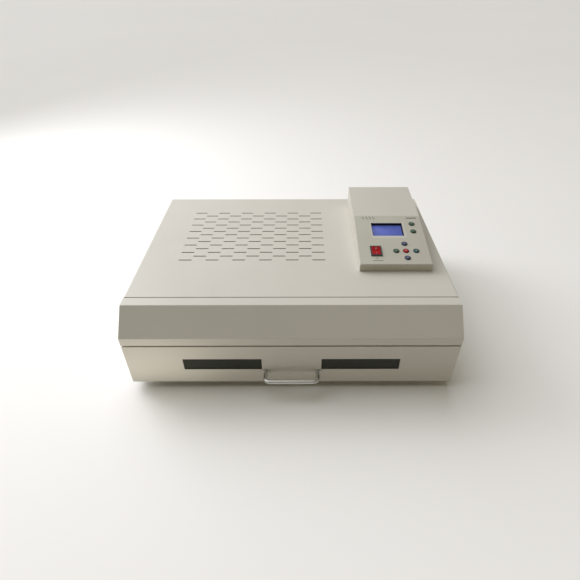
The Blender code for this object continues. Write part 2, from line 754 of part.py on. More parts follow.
def power_switch(plane):
    frame = plane.matrix_world
    face = OVERLAY + 2 * CLEAR
    across = 0.0109
    along = 0.0139
    housing = box(
        "switch_housing",
        (SWITCH_X - across, SWITCH_S - along, -0.0175),
        (SWITCH_X + across, SWITCH_S + along, face + 0.0020),
        frame,
    )
    bezel = box(
        "switch_bezel",
        (SWITCH_X - 0.0128, SWITCH_S - 0.0163, face),
        (SWITCH_X + 0.0128, SWITCH_S + 0.0163, face + 0.0020),
        frame,
    )
    join(housing, bezel)
    hollow = box(
        "switch_hollow",
        (SWITCH_X - 0.0099, SWITCH_S - 0.0131, -0.0155),
        (SWITCH_X + 0.0099, SWITCH_S + 0.0131, 0.010),
        frame,
    )
    cut(housing, hollow)
    pivot_depth = -0.004
    pins = rod(
        "switch_pins",
        (SWITCH_X - 0.0104, SWITCH_S, pivot_depth),
        (SWITCH_X + 0.0104, SWITCH_S, pivot_depth),
        0.0012,
        10,
        frame,
    )
    join(housing, pins)
    part(housing, "black_plastic", plane)
    # The rocker's two faces meet in a shallow valley. Its near half is pressed in.
    rock = math.radians(9)
    outline = [(-0.0114, 0.0020), (-0.0114, 0.0092), (0.0, 0.0078), (0.0114, 0.0092), (0.0114, 0.0020)]
    outline += [(0.0060, -0.0045), (-0.0060, -0.0045)]
    bore = [(0.0016 * math.cos(a), 0.0016 * math.sin(a)) for a in [math.tau * i / 10 for i in range(10)]]
    pose = frame @ Matrix.Translation((SWITCH_X, SWITCH_S, pivot_depth)) @ Matrix.Rotation(rock, 4, "X")
    rocker = flat_shape("switch_rocker", [outline, bore], 0.0192, pose @ across_x(0))
    return part(rocker, "red", plane)


def buttons(plane):
    rise = OVERLAY + CLEAR + 0.0022
    under = -SHEET - 2 * CLEAR
    stem = -BOARD_DEPTH + 0.0025 + BUTTON_TRAVEL + 0.0002
    profile = [(0.0, rise), (BUTTON_RADIUS - 0.0008, rise), (BUTTON_RADIUS, rise - 0.0007)]
    profile += [(BUTTON_RADIUS, under), (0.0072, under), (0.0072, under - 0.0012)]
    profile += [(0.0020, under - 0.0012), (0.0020, stem), (0.0, stem)]
    colours = {
        "button_up": "blue",
        "button_left": "green",
        "button_enter": "red",
        "button_right": "teal",
        "button_down": "blue",
        "button_heat": "green",
        "button_fan": "green",
    }
    for name, (x, s) in BUTTONS.items():
        cap = turned(name, profile, plane.matrix_world @ Matrix.Translation((x, s, 0)), 14)
        part(cap, colours[name], plane)


# ---------------------------------------------------------------- drawer


def drawer_travel():
    """The empty that carries the drawer's pieces along Y."""
    travel = bpy.data.objects.new("drawer_travel", None)
    travel.location = (0, FRONT, SLIDE_Z)
    bpy.data.collections["reflow_oven"].objects.link(travel)
    bpy.context.view_layer.update()
    return travel


def window_cutters(name, low, high):
    return boxes(
        name,
        [
            ((min(side * WINDOW_NEAR, side * WINDOW_FAR), low, WINDOW_LOW),
             (max(side * WINDOW_NEAR, side * WINDOW_FAR), high, WINDOW_HIGH))
            for side in (-1, 1)
        ],
    )


def drawer_front(travel):
    rear = FRONT + PAN_DEPTH
    front = box("drawer_front", (-HALF, FRONT, BOTTOM), (HALF, rear, DRAWER_TOP))
    hollow = box(
        "front_hollow",
        (-HALF + SHEET, FRONT + SHEET, BOTTOM + SHEET),
        (HALF - SHEET, rear + 0.01, DRAWER_TOP - SHEET),
    )
    cut(front, hollow, window_cutters("front_windows", FRONT - 0.01, FRONT + 0.01))
    return part(front, "body_paint", travel)


def drawer_windows(travel):
    margin = 0.005
    for name, side in (("window_glass_left", -1), ("window_glass_right", 1)):
        near = side * (WINDOW_NEAR - margin)
        far = side * (WINDOW_FAR + margin)
        low = (min(near, far), FRONT + SHEET + CLEAR, WINDOW_LOW - margin)
        high = (max(near, far), FRONT + SHEET + CLEAR + 0.003, WINDOW_HIGH + margin)
        part(box(name, low, high), "window", travel)


def drawer_handle(travel):
    """A bow handle: a round bar with two bends, on a round foot at each end."""
    reach = FRONT - HANDLE_REACH + HANDLE_RADIUS
    base = FRONT - CLEAR
    radius = 0.010
    path = [(HANDLE_HALF, base)]
    for step in range(7):
        angle = math.pi / 2 * step / 6
        x = HANDLE_HALF - radius + radius * math.cos(angle)
        path.append((x, reach + radius - radius * math.sin(angle)))
    path += [(-x, y) for x, y in reversed(path)]
    data = bpy.data.curves.new("drawer_handle", "CURVE")
    data.dimensions = "3D"
    data.bevel_depth = HANDLE_RADIUS
    data.bevel_resolution = 3
    data.use_fill_caps = True
    spline = data.splines.new("POLY")
    spline.points.add(len(path) - 1)
    for point, (x, y) in zip(spline.points, path):
        point.co = (x, y, HANDLE_Z, 1)
    handle = meshed("drawer_handle", data, Matrix())
    for side in (-1, 1):
        x = side * HANDLE_HALF
        join(handle, rod("handle_foot", (x, base, HANDLE_Z), (x, base - 0.003, HANDLE_Z), 0.0075, 20))
    return part(handle, "steel", travel)


def drawer_inner_face(travel):
    """The sheet that closes the front pan from behind, with a hole behind each window."""
    rear = FRONT + PAN_DEPTH
    front = rear - SHEET
    face = box("drawer_inner_face", (-0.318, front, BOX_FLOOR), (0.318, rear, DRAWER_TOP - 0.003))
    cut(face, window_cutters("face_windows", front - 0.01, front + 0.01))
    return part(face, "galvanised", travel)


def drawer_box(travel):
    """The sheet-metal tray behind the inner face, with a ledge on each side for the rack."""
    front = FRONT + PAN_DEPTH + CLEAR
    floor = box("drawer_box", (-BOX_HALF, front, BOX_FLOOR), (BOX_HALF, BOX_REAR, BOX_FLOOR + SHEET))
    back = box("box_back", (-BOX_HALF, BOX_REAR - SHEET, BOX_FLOOR), (BOX_HALF, BOX_REAR, BOX_TOP))
    join(floor, back)
    for side in (-1, 1):
        outer = side * BOX_HALF
        inner = side * (BOX_HALF - SHEET)
        ledge = side * (BOX_HALF - 0.011)
        low = (min(outer, inner), front, BOX_FLOOR)
        wall = box("box_side", low, (max(outer, inner), BOX_REAR, BOX_TOP))
        low = (min(outer, ledge), front + LEDGE_END, RACK_LEVEL - CLEAR - SHEET)
        high = (max(outer, ledge), BOX_REAR - LEDGE_END, RACK_LEVEL - CLEAR)
        join(floor, wall, box("box_ledge", low, high))
    return part(floor, "galvanised", travel)


def wire_rack(travel):
    """The grid that the boards lie on: crossing bars between two rims."""
    half = BOX_HALF - SHEET - 0.0015
    front = FRONT + PAN_DEPTH + 0.0015
    rear = BOX_REAR - SHEET - 0.0015
    bar = 0.003
    columns = 12
    rows = 8
    step_x = (2 * half - bar) / columns
    step_y = (rear - front - bar) / rows
    loops = [rectangle(-half, front, half, rear)]
    for i in range(columns):
        for j in range(rows):
            x = -half + bar + i * step_x
            y = front + bar + j * step_y
            loops.append(rectangle(x, y, x + step_x - bar, y + step_y - bar))
    rack = flat_shape("wire_rack", loops, bar, Matrix.Translation((0, 0, RACK_LEVEL + bar / 2)))
    return part(rack, "steel", travel)


def slide_rail(name, side, web, reach, height, length):
    """A rail of C section along Y. The web stands at one x, and its two lips reach towards another."""
    inward = math.copysign(SHEET, reach - web)
    half = height / 2
    outline = [
        (web, SLIDE_Z - half),
        (reach, SLIDE_Z - half),
        (reach, SLIDE_Z - half + SHEET),
        (web + inward, SLIDE_Z - half + SHEET),
        (web + inward, SLIDE_Z + half - SHEET),
        (reach, SLIDE_Z + half - SHEET),
        (reach, SLIDE_Z + half),
        (web, SLIDE_Z + half),
    ]
    outline = [(side * x, z) for x, z in outline]
    return flat_shape(name, [outline], length, across_y(SLIDE_FRONT + length / 2))


def slides(travel):
    """Telescopic slides: an outer rail on the chamber, a middle rail, and an inner rail on the drawer."""
    outer_web = CHAMBER_HALF - CLEAR
    middle_web = outer_web - SHEET - 0.0010
    inner_web = BOX_HALF + CLEAR
    middle_height = SLIDE_HEIGHT - 2 * SHEET - 0.0016
    inner_height = middle_height - 2 * SHEET - 0.0016
    inner_reach = middle_web - SHEET - 0.0010
    for place, side in (("left", -1), ("right", 1)):
        outer = ("slide_outer_" + place, side, outer_web, outer_web - 0.0100, SLIDE_HEIGHT, SLIDE_LENGTH)
        part(slide_rail(*outer), "galvanised")
        middle = ("slide_middle_" + place, side, middle_web, middle_web - 0.0085, middle_height, 0.390)
        part(slide_rail(*middle), "steel")
        inner = ("slide_inner_" + place, side, inner_web, inner_reach, inner_height, 0.390)
        part(slide_rail(*inner), "galvanised", travel)


def build():
    clear_scene()
    new_collection("reflow_oven")
    new_collection("cutters")
    base_tray()
    feet()
    top_cover()
    front_hood()
    rear_panel()
    chamber()
    heaters()
    thermocouple()
    exhaust()
    fan("exhaust_fan", EXHAUST_X, EXHAUST_Z)
    fan("cooling_fan", COOLING_X, COOLING_Z)
    power_inlet()
    electronics()
    plane = panel_plane()
    control_box_cover(plane)
    panel_overlay(plane)
    display(plane)
    control_board(plane)
    power_switch(plane)
    buttons(plane)
    travel = drawer_travel()
    drawer_front(travel)
    drawer_windows(travel)
    drawer_handle(travel)
    drawer_inner_face(travel)
    drawer_box(travel)
    wire_rack(travel)
    slides(travel)


build()
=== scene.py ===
"""The looks of the reflow oven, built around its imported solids."""

import json
import math
import random

import bmesh
import bpy
from mathutils import Matrix, Vector


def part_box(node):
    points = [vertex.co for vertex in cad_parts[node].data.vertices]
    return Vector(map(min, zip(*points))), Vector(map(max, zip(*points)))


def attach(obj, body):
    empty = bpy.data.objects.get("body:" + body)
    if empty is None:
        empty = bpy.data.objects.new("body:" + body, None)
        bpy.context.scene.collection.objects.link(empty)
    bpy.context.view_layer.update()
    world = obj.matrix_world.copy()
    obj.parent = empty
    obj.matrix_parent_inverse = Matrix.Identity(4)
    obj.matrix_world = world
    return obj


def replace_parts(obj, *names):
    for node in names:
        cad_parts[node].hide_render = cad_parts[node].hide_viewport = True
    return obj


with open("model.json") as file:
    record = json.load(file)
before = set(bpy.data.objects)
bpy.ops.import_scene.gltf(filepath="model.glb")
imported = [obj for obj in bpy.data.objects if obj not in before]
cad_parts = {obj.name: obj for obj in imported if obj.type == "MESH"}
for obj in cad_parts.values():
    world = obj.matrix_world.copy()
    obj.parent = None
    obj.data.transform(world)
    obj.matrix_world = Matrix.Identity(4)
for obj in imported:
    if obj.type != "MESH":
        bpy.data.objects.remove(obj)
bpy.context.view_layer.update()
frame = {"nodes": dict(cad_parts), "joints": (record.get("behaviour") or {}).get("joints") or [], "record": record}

random.seed(7)

# ---------------------------------------------------------------- places, read from the frame

COVER_LOW, COVER_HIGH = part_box("top_cover")
FRONT_LOW, FRONT_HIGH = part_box("drawer_front")
RACK_LOW, RACK_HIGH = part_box("wire_rack")
PANEL_LOW, PANEL_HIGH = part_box("rear_panel")
TRAY_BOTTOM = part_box("base_tray")[0].z
BOX_LOW, BOX_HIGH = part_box("control_box_cover")
JOINTS = {joint["name"]: joint for joint in frame["joints"]}
BODIES = frame["record"]["behaviour"]["bodies"]
BODY_OF = {node: body for body, nodes in BODIES.items() for node in nodes}
SLOT_OF = {row["node"]: row["material_slot"] for row in frame["record"]["subparts"]}

TOP = COVER_HIGH.z
REAR = PANEL_HIGH.y
FRONT = FRONT_LOW.y

# The panel's axes: X across, Y up the slope from the control box's front edge, Z out of the panel.
CONTROL_FRONT_HEIGHT = 0.0176
PRESS = Vector(JOINTS["press_up"]["axis"])
SLOPE = math.atan2(PRESS.y, -PRESS.z)
PANEL = Matrix.Translation(
    ((BOX_LOW.x + BOX_HIGH.x) / 2, BOX_LOW.y, TOP + CONTROL_FRONT_HEIGHT)
) @ Matrix.Rotation(SLOPE, 4, "X")
PANEL_SKIN = 0.0008
PRINT_LOW = PANEL_SKIN - 0.0001
PRINT_HIGH = PANEL_SKIN + 0.00012
CAP_TOP = 0.0030

# Sheet metal, and the rim of a cut edge as pairs of (distance past the edge, depth under the outer skin).
SHEET = 0.0012
SOFT = 0.0003
HALFWAY = 0.293
RIM = [(SOFT, 0.0), (SOFT * HALFWAY, SOFT * HALFWAY), (0.0, SOFT)]
RIM += [(grow, SHEET - depth) for grow, depth in RIM[::-1]]

# The cover's slots: long and short rows alternate, half a pitch apart.
SLOT_ROWS = 15
SLOTS_IN_LONG_ROW = 6
SLOTS_LEFT = -0.2644
SLOTS_FRONT = FRONT + 0.2108
SLOT_ROW_PITCH = 0.0162
SLOT_HALF_PITCH = 0.03115
SLOT_HALF = (0.0153, 0.0015)

HANDLE_HALF = 0.056
COLLAR_SCREW_CIRCLE = 0.0418
EXHAUST_HOLE = 0.0365
SAME_PLACE = 0.000002

BODY = "oven_body"
DRAWER = "drawer"
REARWARD = (0, 1, 0)


# ---------------------------------------------------------------- materials


class Nodes:
    """A material's node tree, with the few nodes that these materials are made of. Sizes are in metres."""

    def __init__(self, name):
        self.material = bpy.data.materials.new(name)
        self.material.use_nodes = True
        self.tree = self.material.node_tree
        self.shader = self.tree.nodes["Principled BSDF"]
        self.place = self.add("ShaderNodeTexCoord").outputs["Object"]

    def add(self, kind, **settings):
        """A new node with these settings."""
        made = self.tree.nodes.new(kind)
        for key, value in settings.items():
            setattr(made, key, value)
        return made

    def link(self, source, target):
        """Joins an output to an input."""
        self.tree.links.new(source, target)

    def stretched(self, scale):
        """The object's own coordinates, scaled along each axis."""
        mapping = self.add("ShaderNodeMapping")
        mapping.inputs["Scale"].default_value = scale
        self.link(self.place, mapping.inputs["Vector"])
        return mapping.outputs["Vector"]

    def noise(self, size, detail=4.0, rough=0.55, stretch=None):
        """Noise whose features are about this many metres across."""
        made = self.add("ShaderNodeTexNoise")
        made.inputs["Scale"].default_value = 1.0 / size
        made.inputs["Detail"].default_value = detail
        made.inputs["Roughness"].default_value = rough
        self.link(self.stretched(stretch) if stretch else self.place, made.inputs["Vector"])
        return made.outputs["Fac"]

    def cells(self, size):
        """Cells about this many metres across, each of one random tone."""
        made = self.add("ShaderNodeTexVoronoi")
        made.inputs["Scale"].default_value = 1.0 / size
        self.link(self.place, made.inputs["Vector"])
        return made.outputs["Color"]

    def spread(self, value, low, high, start=0.3, end=0.7):
        """The value's range from start to end, mapped to low to high."""
        made = self.add("ShaderNodeMapRange")
        made.inputs["From Min"].default_value = start
        made.inputs["From Max"].default_value = end
        made.inputs["To Min"].default_value = low
        made.inputs["To Max"].default_value = high
        self.link(value, made.inputs["Value"])
        return made.outputs["Result"]

    def tones(self, value, colours):
        """A colour for the value, from (position, colour) pairs."""
        made = self.add("ShaderNodeValToRGB")
        ramp = made.color_ramp
        while len(ramp.elements) < len(colours):
            ramp.elements.new(0.5)
        for element, (place, colour) in zip(ramp.elements, colours):
            element.position = place
            element.color = (*colour, 1.0)
        self.link(value, made.inputs["Fac"])
        return made.outputs["Color"]

    def relief(self, value, height, before=None):
        """Bumps as high as this, on top of the relief before."""
        made = self.add("ShaderNodeBump")
        made.inputs["Strength"].default_value = 1.0
        made.inputs["Distance"].default_value = height
        self.link(value, made.inputs["Height"])
        if before:
            self.link(before, made.inputs["Normal"])
        return made.outputs["Normal"]

    def set(self, **values):
        """Sets the shader's own sockets: a number or colour, or another node's output."""
        for key, value in values.items():
            socket = self.shader.inputs[key.replace("_", " ")]
            if isinstance(value, bpy.types.NodeSocket):
                self.link(value, socket)
            elif hasattr(value, "__len__"):
                socket.default_value = (*value, 1.0)
            else:
                socket.default_value = value
        return self.material


def shade(colour, factor):
    """The colour made darker or lighter."""
    return tuple(min(1.0, channel * factor) for channel in colour)


def powder_coat(name, colour):
    """Baked powder coat: a fine orange peel, a slow drift of tone and faint handling marks."""
    n = Nodes(name)
    rough = 0.42
    drift = n.tones(n.noise(0.35, 3.0), [(0.3, shade(colour, 0.965)), (0.7, shade(colour, 1.025))])
    peel = n.relief(n.noise(0.0011, 2.0), 0.000035)
    return n.set(
        Base_Color=drift,
        Roughness=n.spread(n.noise(0.06, 5.0), rough - 0.06, rough + 0.08),
        Normal=n.relief(n.noise(0.012, 3.0), 0.00003, peel),
        Specular_IOR_Level=0.45,
    )


def film(name, colour):
    """The printed polycarbonate film: a satin grain on a flat tone."""
    n = Nodes(name)
    tone = n.tones(n.noise(0.05, 4.0), [(0.3, shade(colour, 0.97)), (0.7, shade(colour, 1.03))])
    return n.set(
        Base_Color=tone,
        Roughness=n.spread(n.noise(0.004), 0.34, 0.46),
        Normal=n.relief(n.noise(0.0005, 2.0), 0.000012),
    )


def galvanised(name, colour):
    """Zinc-coated sheet: spangle in tone and gloss."""
    n = Nodes(name)
    spangle = n.cells(0.0055)
    tone = n.tones(spangle, [(0.1, shade(colour, 0.90)), (0.9, shade(colour, 1.08))])
    return n.set(
        Base_Color=tone,
        Metallic=1.0,
        Roughness=n.spread(spangle, 0.34, 0.46, 0.0, 1.0),
        Normal=n.relief(n.noise(0.002), 0.00002),
    )


def bright_sheet(name, colour):
    """Rolled reflector sheet, with a straw tint where it has been hot."""
    n = Nodes(name)
    straw = (colour[0], colour[1] * 0.95, colour[2] * 0.85)
    tone = n.tones(n.noise(0.09, 3.0), [(0.35, colour), (0.62, straw), (0.8, shade(colour, 0.85))])
    return n.set(
        Base_Color=tone,
        Metallic=1.0,
        Roughness=n.spread(n.noise(0.002, 4.0, 0.6, (0.03, 1.0, 1.0)), 0.14, 0.30),
        Normal=n.relief(n.noise(0.03), 0.0001),
    )


def brushed(name, colour, rough=0.24):
    """Plated steel with a drawn grain along X."""
    n = Nodes(name)
    grain = n.noise(0.0006, 3.0, 0.6, (0.02, 1.0, 1.0))
    tone = n.tones(n.noise(0.03), [(0.3, shade(colour, 0.9)), (0.7, shade(colour, 1.06))])
    return n.set(
        Base_Color=tone,
        Metallic=1.0,
        Roughness=n.spread(grain, rough - 0.06, rough + 0.10),
        Normal=n.relief(grain, 0.000006),
    )


def moulded(name, colour, rough, grain=0.0008, depth=0.00002, gloss=0.5):
    """Moulded plastic with a fine eroded texture."""
    n = Nodes(name)
    tone = n.tones(n.noise(0.02), [(0.3, shade(colour, 0.88)), (0.7, shade(colour, 1.12))])
    return n.set(
        Base_Color=tone,
        Roughness=n.spread(n.noise(0.008, 5.0), rough - 0.07, rough + 0.07),
        Normal=n.relief(n.noise(grain, 2.0), depth),
        Specular_IOR_Level=gloss,
    )


def cap_plastic(name, colour, rough=0.44, gloss=0.5):
    """The smoother plastic of the buttons' caps and the rocker."""
    return moulded(name, colour, rough, 0.002, 0.000008, gloss)


def ink(name, colour):
    """Screen-printed ink."""
    return moulded(name, colour, 0.5, 0.002, 0.000004)


def fibre(name, colour):
    """Needled ceramic fibre blanket."""
    n = Nodes(name)
    strands = n.noise(0.0025, 8.0, 0.75, (1.0, 0.25, 1.0))
    tone = n.tones(strands, [(0.25, shade(colour, 0.72)), (0.75, colour)])
    return n.set(
        Base_Color=tone,
        Roughness=0.95,
        Normal=n.relief(n.noise(0.02, 6.0), 0.002, n.relief(strands, 0.0012)),
        Sheen_Weight=0.3,
    )


def rubber(name, colour):
    """Black rubber with some dust on it."""
    n = Nodes(name)
    dust = n.tones(n.noise(0.006, 6.0), [(0.4, colour), (0.9, shade(colour, 2.2))])
    return n.set(
        Base_Color=dust,
        Roughness=n.spread(n.noise(0.004), 0.62, 0.85),
        Normal=n.relief(n.noise(0.0009), 0.00006),
    )


def dark_glass(name, colour):
    """Tinted heat-resistant glass, with faint streaks on it."""
    n = Nodes(name)
    streaks = n.noise(0.05, 3.0, 0.5, (0.2, 1.0, 1.0))
    return n.set(
        Base_Color=n.tones(streaks, [(0.3, colour), (0.8, shade(colour, 1.5))]),
        Roughness=n.spread(n.noise(0.03, 6.0), 0.05, 0.16),
        Transmission_Weight=0.55,
        IOR=1.47,
        Specular_IOR_Level=0.2,
    )


def frosted_quartz(name, colour):
    """Quartz glass, slightly milky."""
    n = Nodes(name)
    return n.set(
        Base_Color=n.tones(n.noise(0.03), [(0.3, shade(colour, 0.92)), (0.7, colour)]),
        Roughness=n.spread(n.noise(0.004), 0.18, 0.34),
        Transmission_Weight=0.75,
        IOR=1.46,
    )


def ceramic(name, colour):
    """Unglazed ceramic with a fine grain."""
    n = Nodes(name)
    return n.set(
        Base_Color=n.tones(n.noise(0.004, 6.0), [(0.35, shade(colour, 0.9)), (0.65, colour)]),
        Roughness=n.spread(n.noise(0.003), 0.45, 0.65),
        Normal=n.relief(n.noise(0.0007), 0.00003),
    )


def backlit(name, colour, glow):
    """A lit display: a faint dot grid and a slow unevenness of the backlight."""
    n = Nodes(name)
    uneven = n.tones(n.noise(0.03, 2.0), [(0.3, shade(colour, 0.86)), (0.7, shade(colour, 1.12))])
    return n.set(
        Base_Color=uneven,
        Roughness=n.spread(n.noise(0.01), 0.42, 0.50),
        Specular_IOR_Level=0.3,
        Emission_Color=uneven,
        Emission_Strength=glow,
        Normal=n.relief(n.noise(0.0006, 0.0), 0.000006),
    )


def solder_mask(name, colour):
    """A lacquered circuit board: a coarse pattern of raised tracks."""
    n = Nodes(name)
    tracks = n.add("ShaderNodeTexBrick", offset=0.37)
    tracks.inputs["Scale"].default_value = 90.0
    tracks.inputs["Color1"].default_value = (*colour, 1.0)
    tracks.inputs["Color2"].default_value = (*shade(colour, 1.25), 1.0)
    tracks.inputs["Mortar"].default_value = (*shade(colour, 0.6), 1.0)
    n.link(n.place, tracks.inputs["Vector"])
    return n.set(
        Base_Color=tracks.outputs["Color"],
        Roughness=n.spread(n.noise(0.005), 0.35, 0.5),
        Normal=n.relief(tracks.outputs["Fac"], 0.00004),
    )


def pale_floor():
    """The floor that the oven stands on."""
    n = Nodes("floor")
    tone = n.tones(n.noise(2.0, 2.0), [(0.3, (0.91, 0.90, 0.87)), (0.7, (0.93, 0.92, 0.89))])
    return n.set(
        Base_Color=tone,
        Roughness=n.spread(n.noise(0.3), 0.75, 0.85),
    )


MATERIALS = {
    "body_paint": powder_coat("body_paint", (0.585, 0.560, 0.495)),
    "overlay": film("overlay", (0.480, 0.465, 0.390)),
    "galvanised": galvanised("galvanised", (0.62, 0.63, 0.64)),
    "reflector": bright_sheet("reflector", (0.80, 0.80, 0.80)),
    "insulation": fibre("insulation", (0.50, 0.46, 0.38)),
    "quartz": frosted_quartz("quartz", (0.86, 0.85, 0.82)),
    "steel": brushed("steel", (0.66, 0.66, 0.65)),
    "rubber": rubber("rubber", (0.018, 0.018, 0.018)),
    "black_plastic": moulded("black_plastic", (0.020, 0.020, 0.021), 0.42),
    "window": dark_glass("window", (0.028, 0.030, 0.018)),
    "circuit_board": solder_mask("circuit_board", (0.02, 0.14, 0.05)),
    "display": backlit("display", (0.070, 0.095, 0.34), 0.40),
    "red": cap_plastic("red", (0.385, 0.005, 0.009), 0.45, 0.15),
    "blue": cap_plastic("blue", (0.020, 0.034, 0.110)),
    "green": cap_plastic("green", (0.018, 0.075, 0.036)),
    "teal": cap_plastic("teal", (0.010, 0.085, 0.095)),
    "ceramic": ceramic("ceramic", (0.85, 0.83, 0.78)),
    "print": ink("print", (0.080, 0.082, 0.070)),
    "pale_print": ink("pale_print", (0.36, 0.36, 0.34)),
    "resistance_wire": brushed("resistance_wire", (0.34, 0.31, 0.28), 0.4),
    "screw_zinc": brushed("screw_zinc", (0.58, 0.58, 0.57), 0.28),
    "display_edge": moulded("display_edge", (0.035, 0.042, 0.130), 0.5),
    # Pale film for the strips round the display's window: a printed frame, and a painted highlight of the screen's
    # glow.
    "frame_print_and_highlight": film("frame_print_and_highlight", (0.56, 0.545, 0.49)),
}


# ---------------------------------------------------------------- helpers


def centre_of(node):
    """The middle of a CAD node's box."""
    low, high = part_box(node)
    return (low + high) / 2


def on_panel(node):
    """The middle of a CAD node's box in the panel's own axes."""
    return PANEL.inverted() @ centre_of(node)


def quarter(steps):
    """The angles of a quarter turn in equal steps."""
    return [math.pi / 2 * i / steps for i in range(steps + 1)]


def new_piece(name, mesh, body, slot, look=None, matrix=None):
    """A piece that rides on the body. Its finish is the look's where one is given, and else the slot's."""
    piece = bpy.data.objects.new(name, mesh)
    bpy.context.scene.collection.objects.link(piece)
    if matrix:
        piece.matrix_world = matrix
    piece.data.materials.clear()
    piece.data.materials.append(MATERIALS[look or slot])
    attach(piece, body)
    return piece


def smooth(mesh, angle=35):
    """Smooth shading, with sharp edges where faces meet at more than this many degrees."""
    mesh.shade_smooth()
    mesh.set_sharp_from_angle(angle=math.radians(angle))
    return mesh


def to_mesh(shape, name, angle=35):
    """The finished mesh of a bmesh, which is freed."""
    bmesh.ops.recalc_face_normals(shape, faces=shape.faces)
    mesh = bpy.data.meshes.new(name)
    shape.to_mesh(mesh)
    shape.free()
    return smooth(mesh, angle)


def weighted(piece):
    """Evens out the shading of the flat faces beside rounded edges."""
    even = piece.modifiers.new("normals", "WEIGHTED_NORMAL")
    even.keep_sharp = True
    return piece


def refined(node, width, segments=2):
    """The CAD node's own shape with its sharp edges rounded, standing for the node."""
    source = frame["nodes"][node]
    shape = bmesh.new()
    shape.from_mesh(source.data)
    bmesh.ops.remove_doubles(shape, verts=shape.verts, dist=SAME_PLACE)
    bmesh.ops.dissolve_limit(
        shape,
        angle_limit=math.radians(0.5),
        verts=shape.verts,
        edges=shape.edges,
        use_dissolve_boundaries=False,
    )
    mesh = to_mesh(shape, "fine_" + node)
    piece = new_piece("fine_" + node, mesh, BODY_OF[node], SLOT_OF[node])
    soften = piece.modifiers.new("edges", "BEVEL")
    soften.width = width
    soften.segments = segments
    soften.limit_method = "ANGLE"
    soften.angle_limit = math.radians(30)
    soften.use_clamp_overlap = True
    soften.miter_outer = "MITER_ARC"
    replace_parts(weighted(piece), node)


def lathe(name, profile, steps, closed=False, angle=30):
    """The mesh of a profile of (radius, height) points turned about Z."""
    shape = bmesh.new()
    verts = [shape.verts.new((radius, 0, height)) for radius, height in profile]
    edges = [shape.edges.new(pair) for pair in zip(verts, verts[1:])]
    if closed:
        edges.append(shape.edges.new((verts[-1], verts[0])))
    bmesh.ops.spin(
        shape, geom=verts + edges, axis=(0, 0, 1), cent=(0, 0, 0), angle=math.tau, steps=steps, use_merge=True
    )
    bmesh.ops.remove_doubles(shape, verts=shape.verts, dist=0.000005)
    return to_mesh(shape, name, angle)


def block(name, low, high, bevel, segments=2):
    """The mesh of a box with rounded edges."""
    low = Vector(low)
    high = Vector(high)
    shape = bmesh.new()
    bmesh.ops.create_cube(shape, size=1.0)
    bmesh.ops.scale(shape, vec=high - low, verts=shape.verts)
    bmesh.ops.translate(shape, vec=(low + high) / 2, verts=shape.verts)
    if bevel:
        bmesh.ops.bevel(
            shape,
            geom=shape.edges[:],
            offset=bevel,
            segments=segments,
            affect="EDGES",
            profile=0.5,
            clamp_overlap=True,
        )
    return to_mesh(shape, name)


def rectangle(left, near, right, far):
    """The outline of a rectangle."""
    return [(left, near), (right, near), (right, far), (left, far)]


def plate(name, outline, low, high):
    """The mesh of a flat outline raised from one height to another."""
    shape = bmesh.new()
    face = shape.faces.new([shape.verts.new((x, y, low)) for x, y in outline])
    grown = bmesh.ops.extrude_face_region(shape, geom=[face])["geom"]
    top = [item for item in grown if isinstance(item, bmesh.types.BMVert)]
    bmesh.ops.translate(shape, vec=(0, 0, high - low), verts=top)
    return to_mesh(shape, name)


def merged(name, meshes):
    """Several meshes as one."""
    shape = bmesh.new()
    for mesh in meshes:
        shape.from_mesh(mesh)
    return to_mesh(shape, name)


def wires(name, paths, radius, body, slot, look=None, sides=3, cyclic=False):
    """Round wires along the given paths, as one piece."""
    data = bpy.data.curves.new(name, "CURVE")
    data.dimensions = "3D"
    data.bevel_depth = radius
    data.bevel_resolution = sides
    data.use_fill_caps = True
    for path in paths:
        spline = data.splines.new("POLY")
        spline.points.add(len(path) - 1)
        for point, place in zip(spline.points, path):
            point.co = (*place, 1.0)
        spline.use_cyclic_u = cyclic
        spline.use_smooth = True
    return new_piece(name, data, body, slot, look)


def facing(direction, point):
    """A place at the point whose Z looks in the direction."""
    turn = Vector((0, 0, 1)).rotation_difference(Vector(direction))
    return Matrix.Translation(point) @ turn.to_matrix().to_4x4()


def ring(radius, count):
    """The points of a circle about zero."""
    angles = [math.tau * i / count for i in range(count)]
    return [(radius * math.cos(angle), radius * math.sin(angle)) for angle in angles]


# ---------------------------------------------------------------- screws


def screw_mesh(name, radius, height):
    """A pan head with a cross recess, its seat at zero height."""
    profile = [(0.0, height)]
    for angle in quarter(6)[1:]:
        profile.append((radius * (0.35 + 0.65 * math.sin(angle)), height * (0.25 + 0.75 * math.cos(angle))))
    profile += [(radius, 0.0), (0.0, 0.0)]
    head = bpy.data.objects.new(name, lathe(name, profile, 24))
    bpy.context.scene.collection.objects.link(head)
    wide = radius * 0.52
    thin = radius * 0.13
    low = height * 0.35
    high = height * 2
    bars = [block("bar", (-x, -y, low), (x, y, high), 0.0) for x, y in ((wide, thin), (thin, wide))]
    cross = merged("cross", bars)
    cutter = bpy.data.objects.new("cross", cross)
    bpy.context.scene.collection.objects.link(cutter)
    recess = head.modifiers.new("recess", "BOOLEAN")
    recess.operation = "DIFFERENCE"
    recess.solver = "EXACT"
    recess.use_self = True
    recess.object = cutter
    graph = bpy.context.evaluated_depsgraph_get()
    mesh = bpy.data.meshes.new_from_object(head.evaluated_get(graph))
    mesh.name = name
    bpy.data.objects.remove(head)
    bpy.data.objects.remove(cutter)
    return smooth(mesh)


def screws(name, mesh, places, direction, body):
    """Screws with the same head, each turned a little differently."""
    for number, place in enumerate(places, start=1):
        turn = Matrix.Rotation(random.uniform(0, math.pi), 4, "Z")
        new_piece(f"{name}_{number}", mesh, body, "steel", "screw_zinc", facing(direction, place) @ turn)


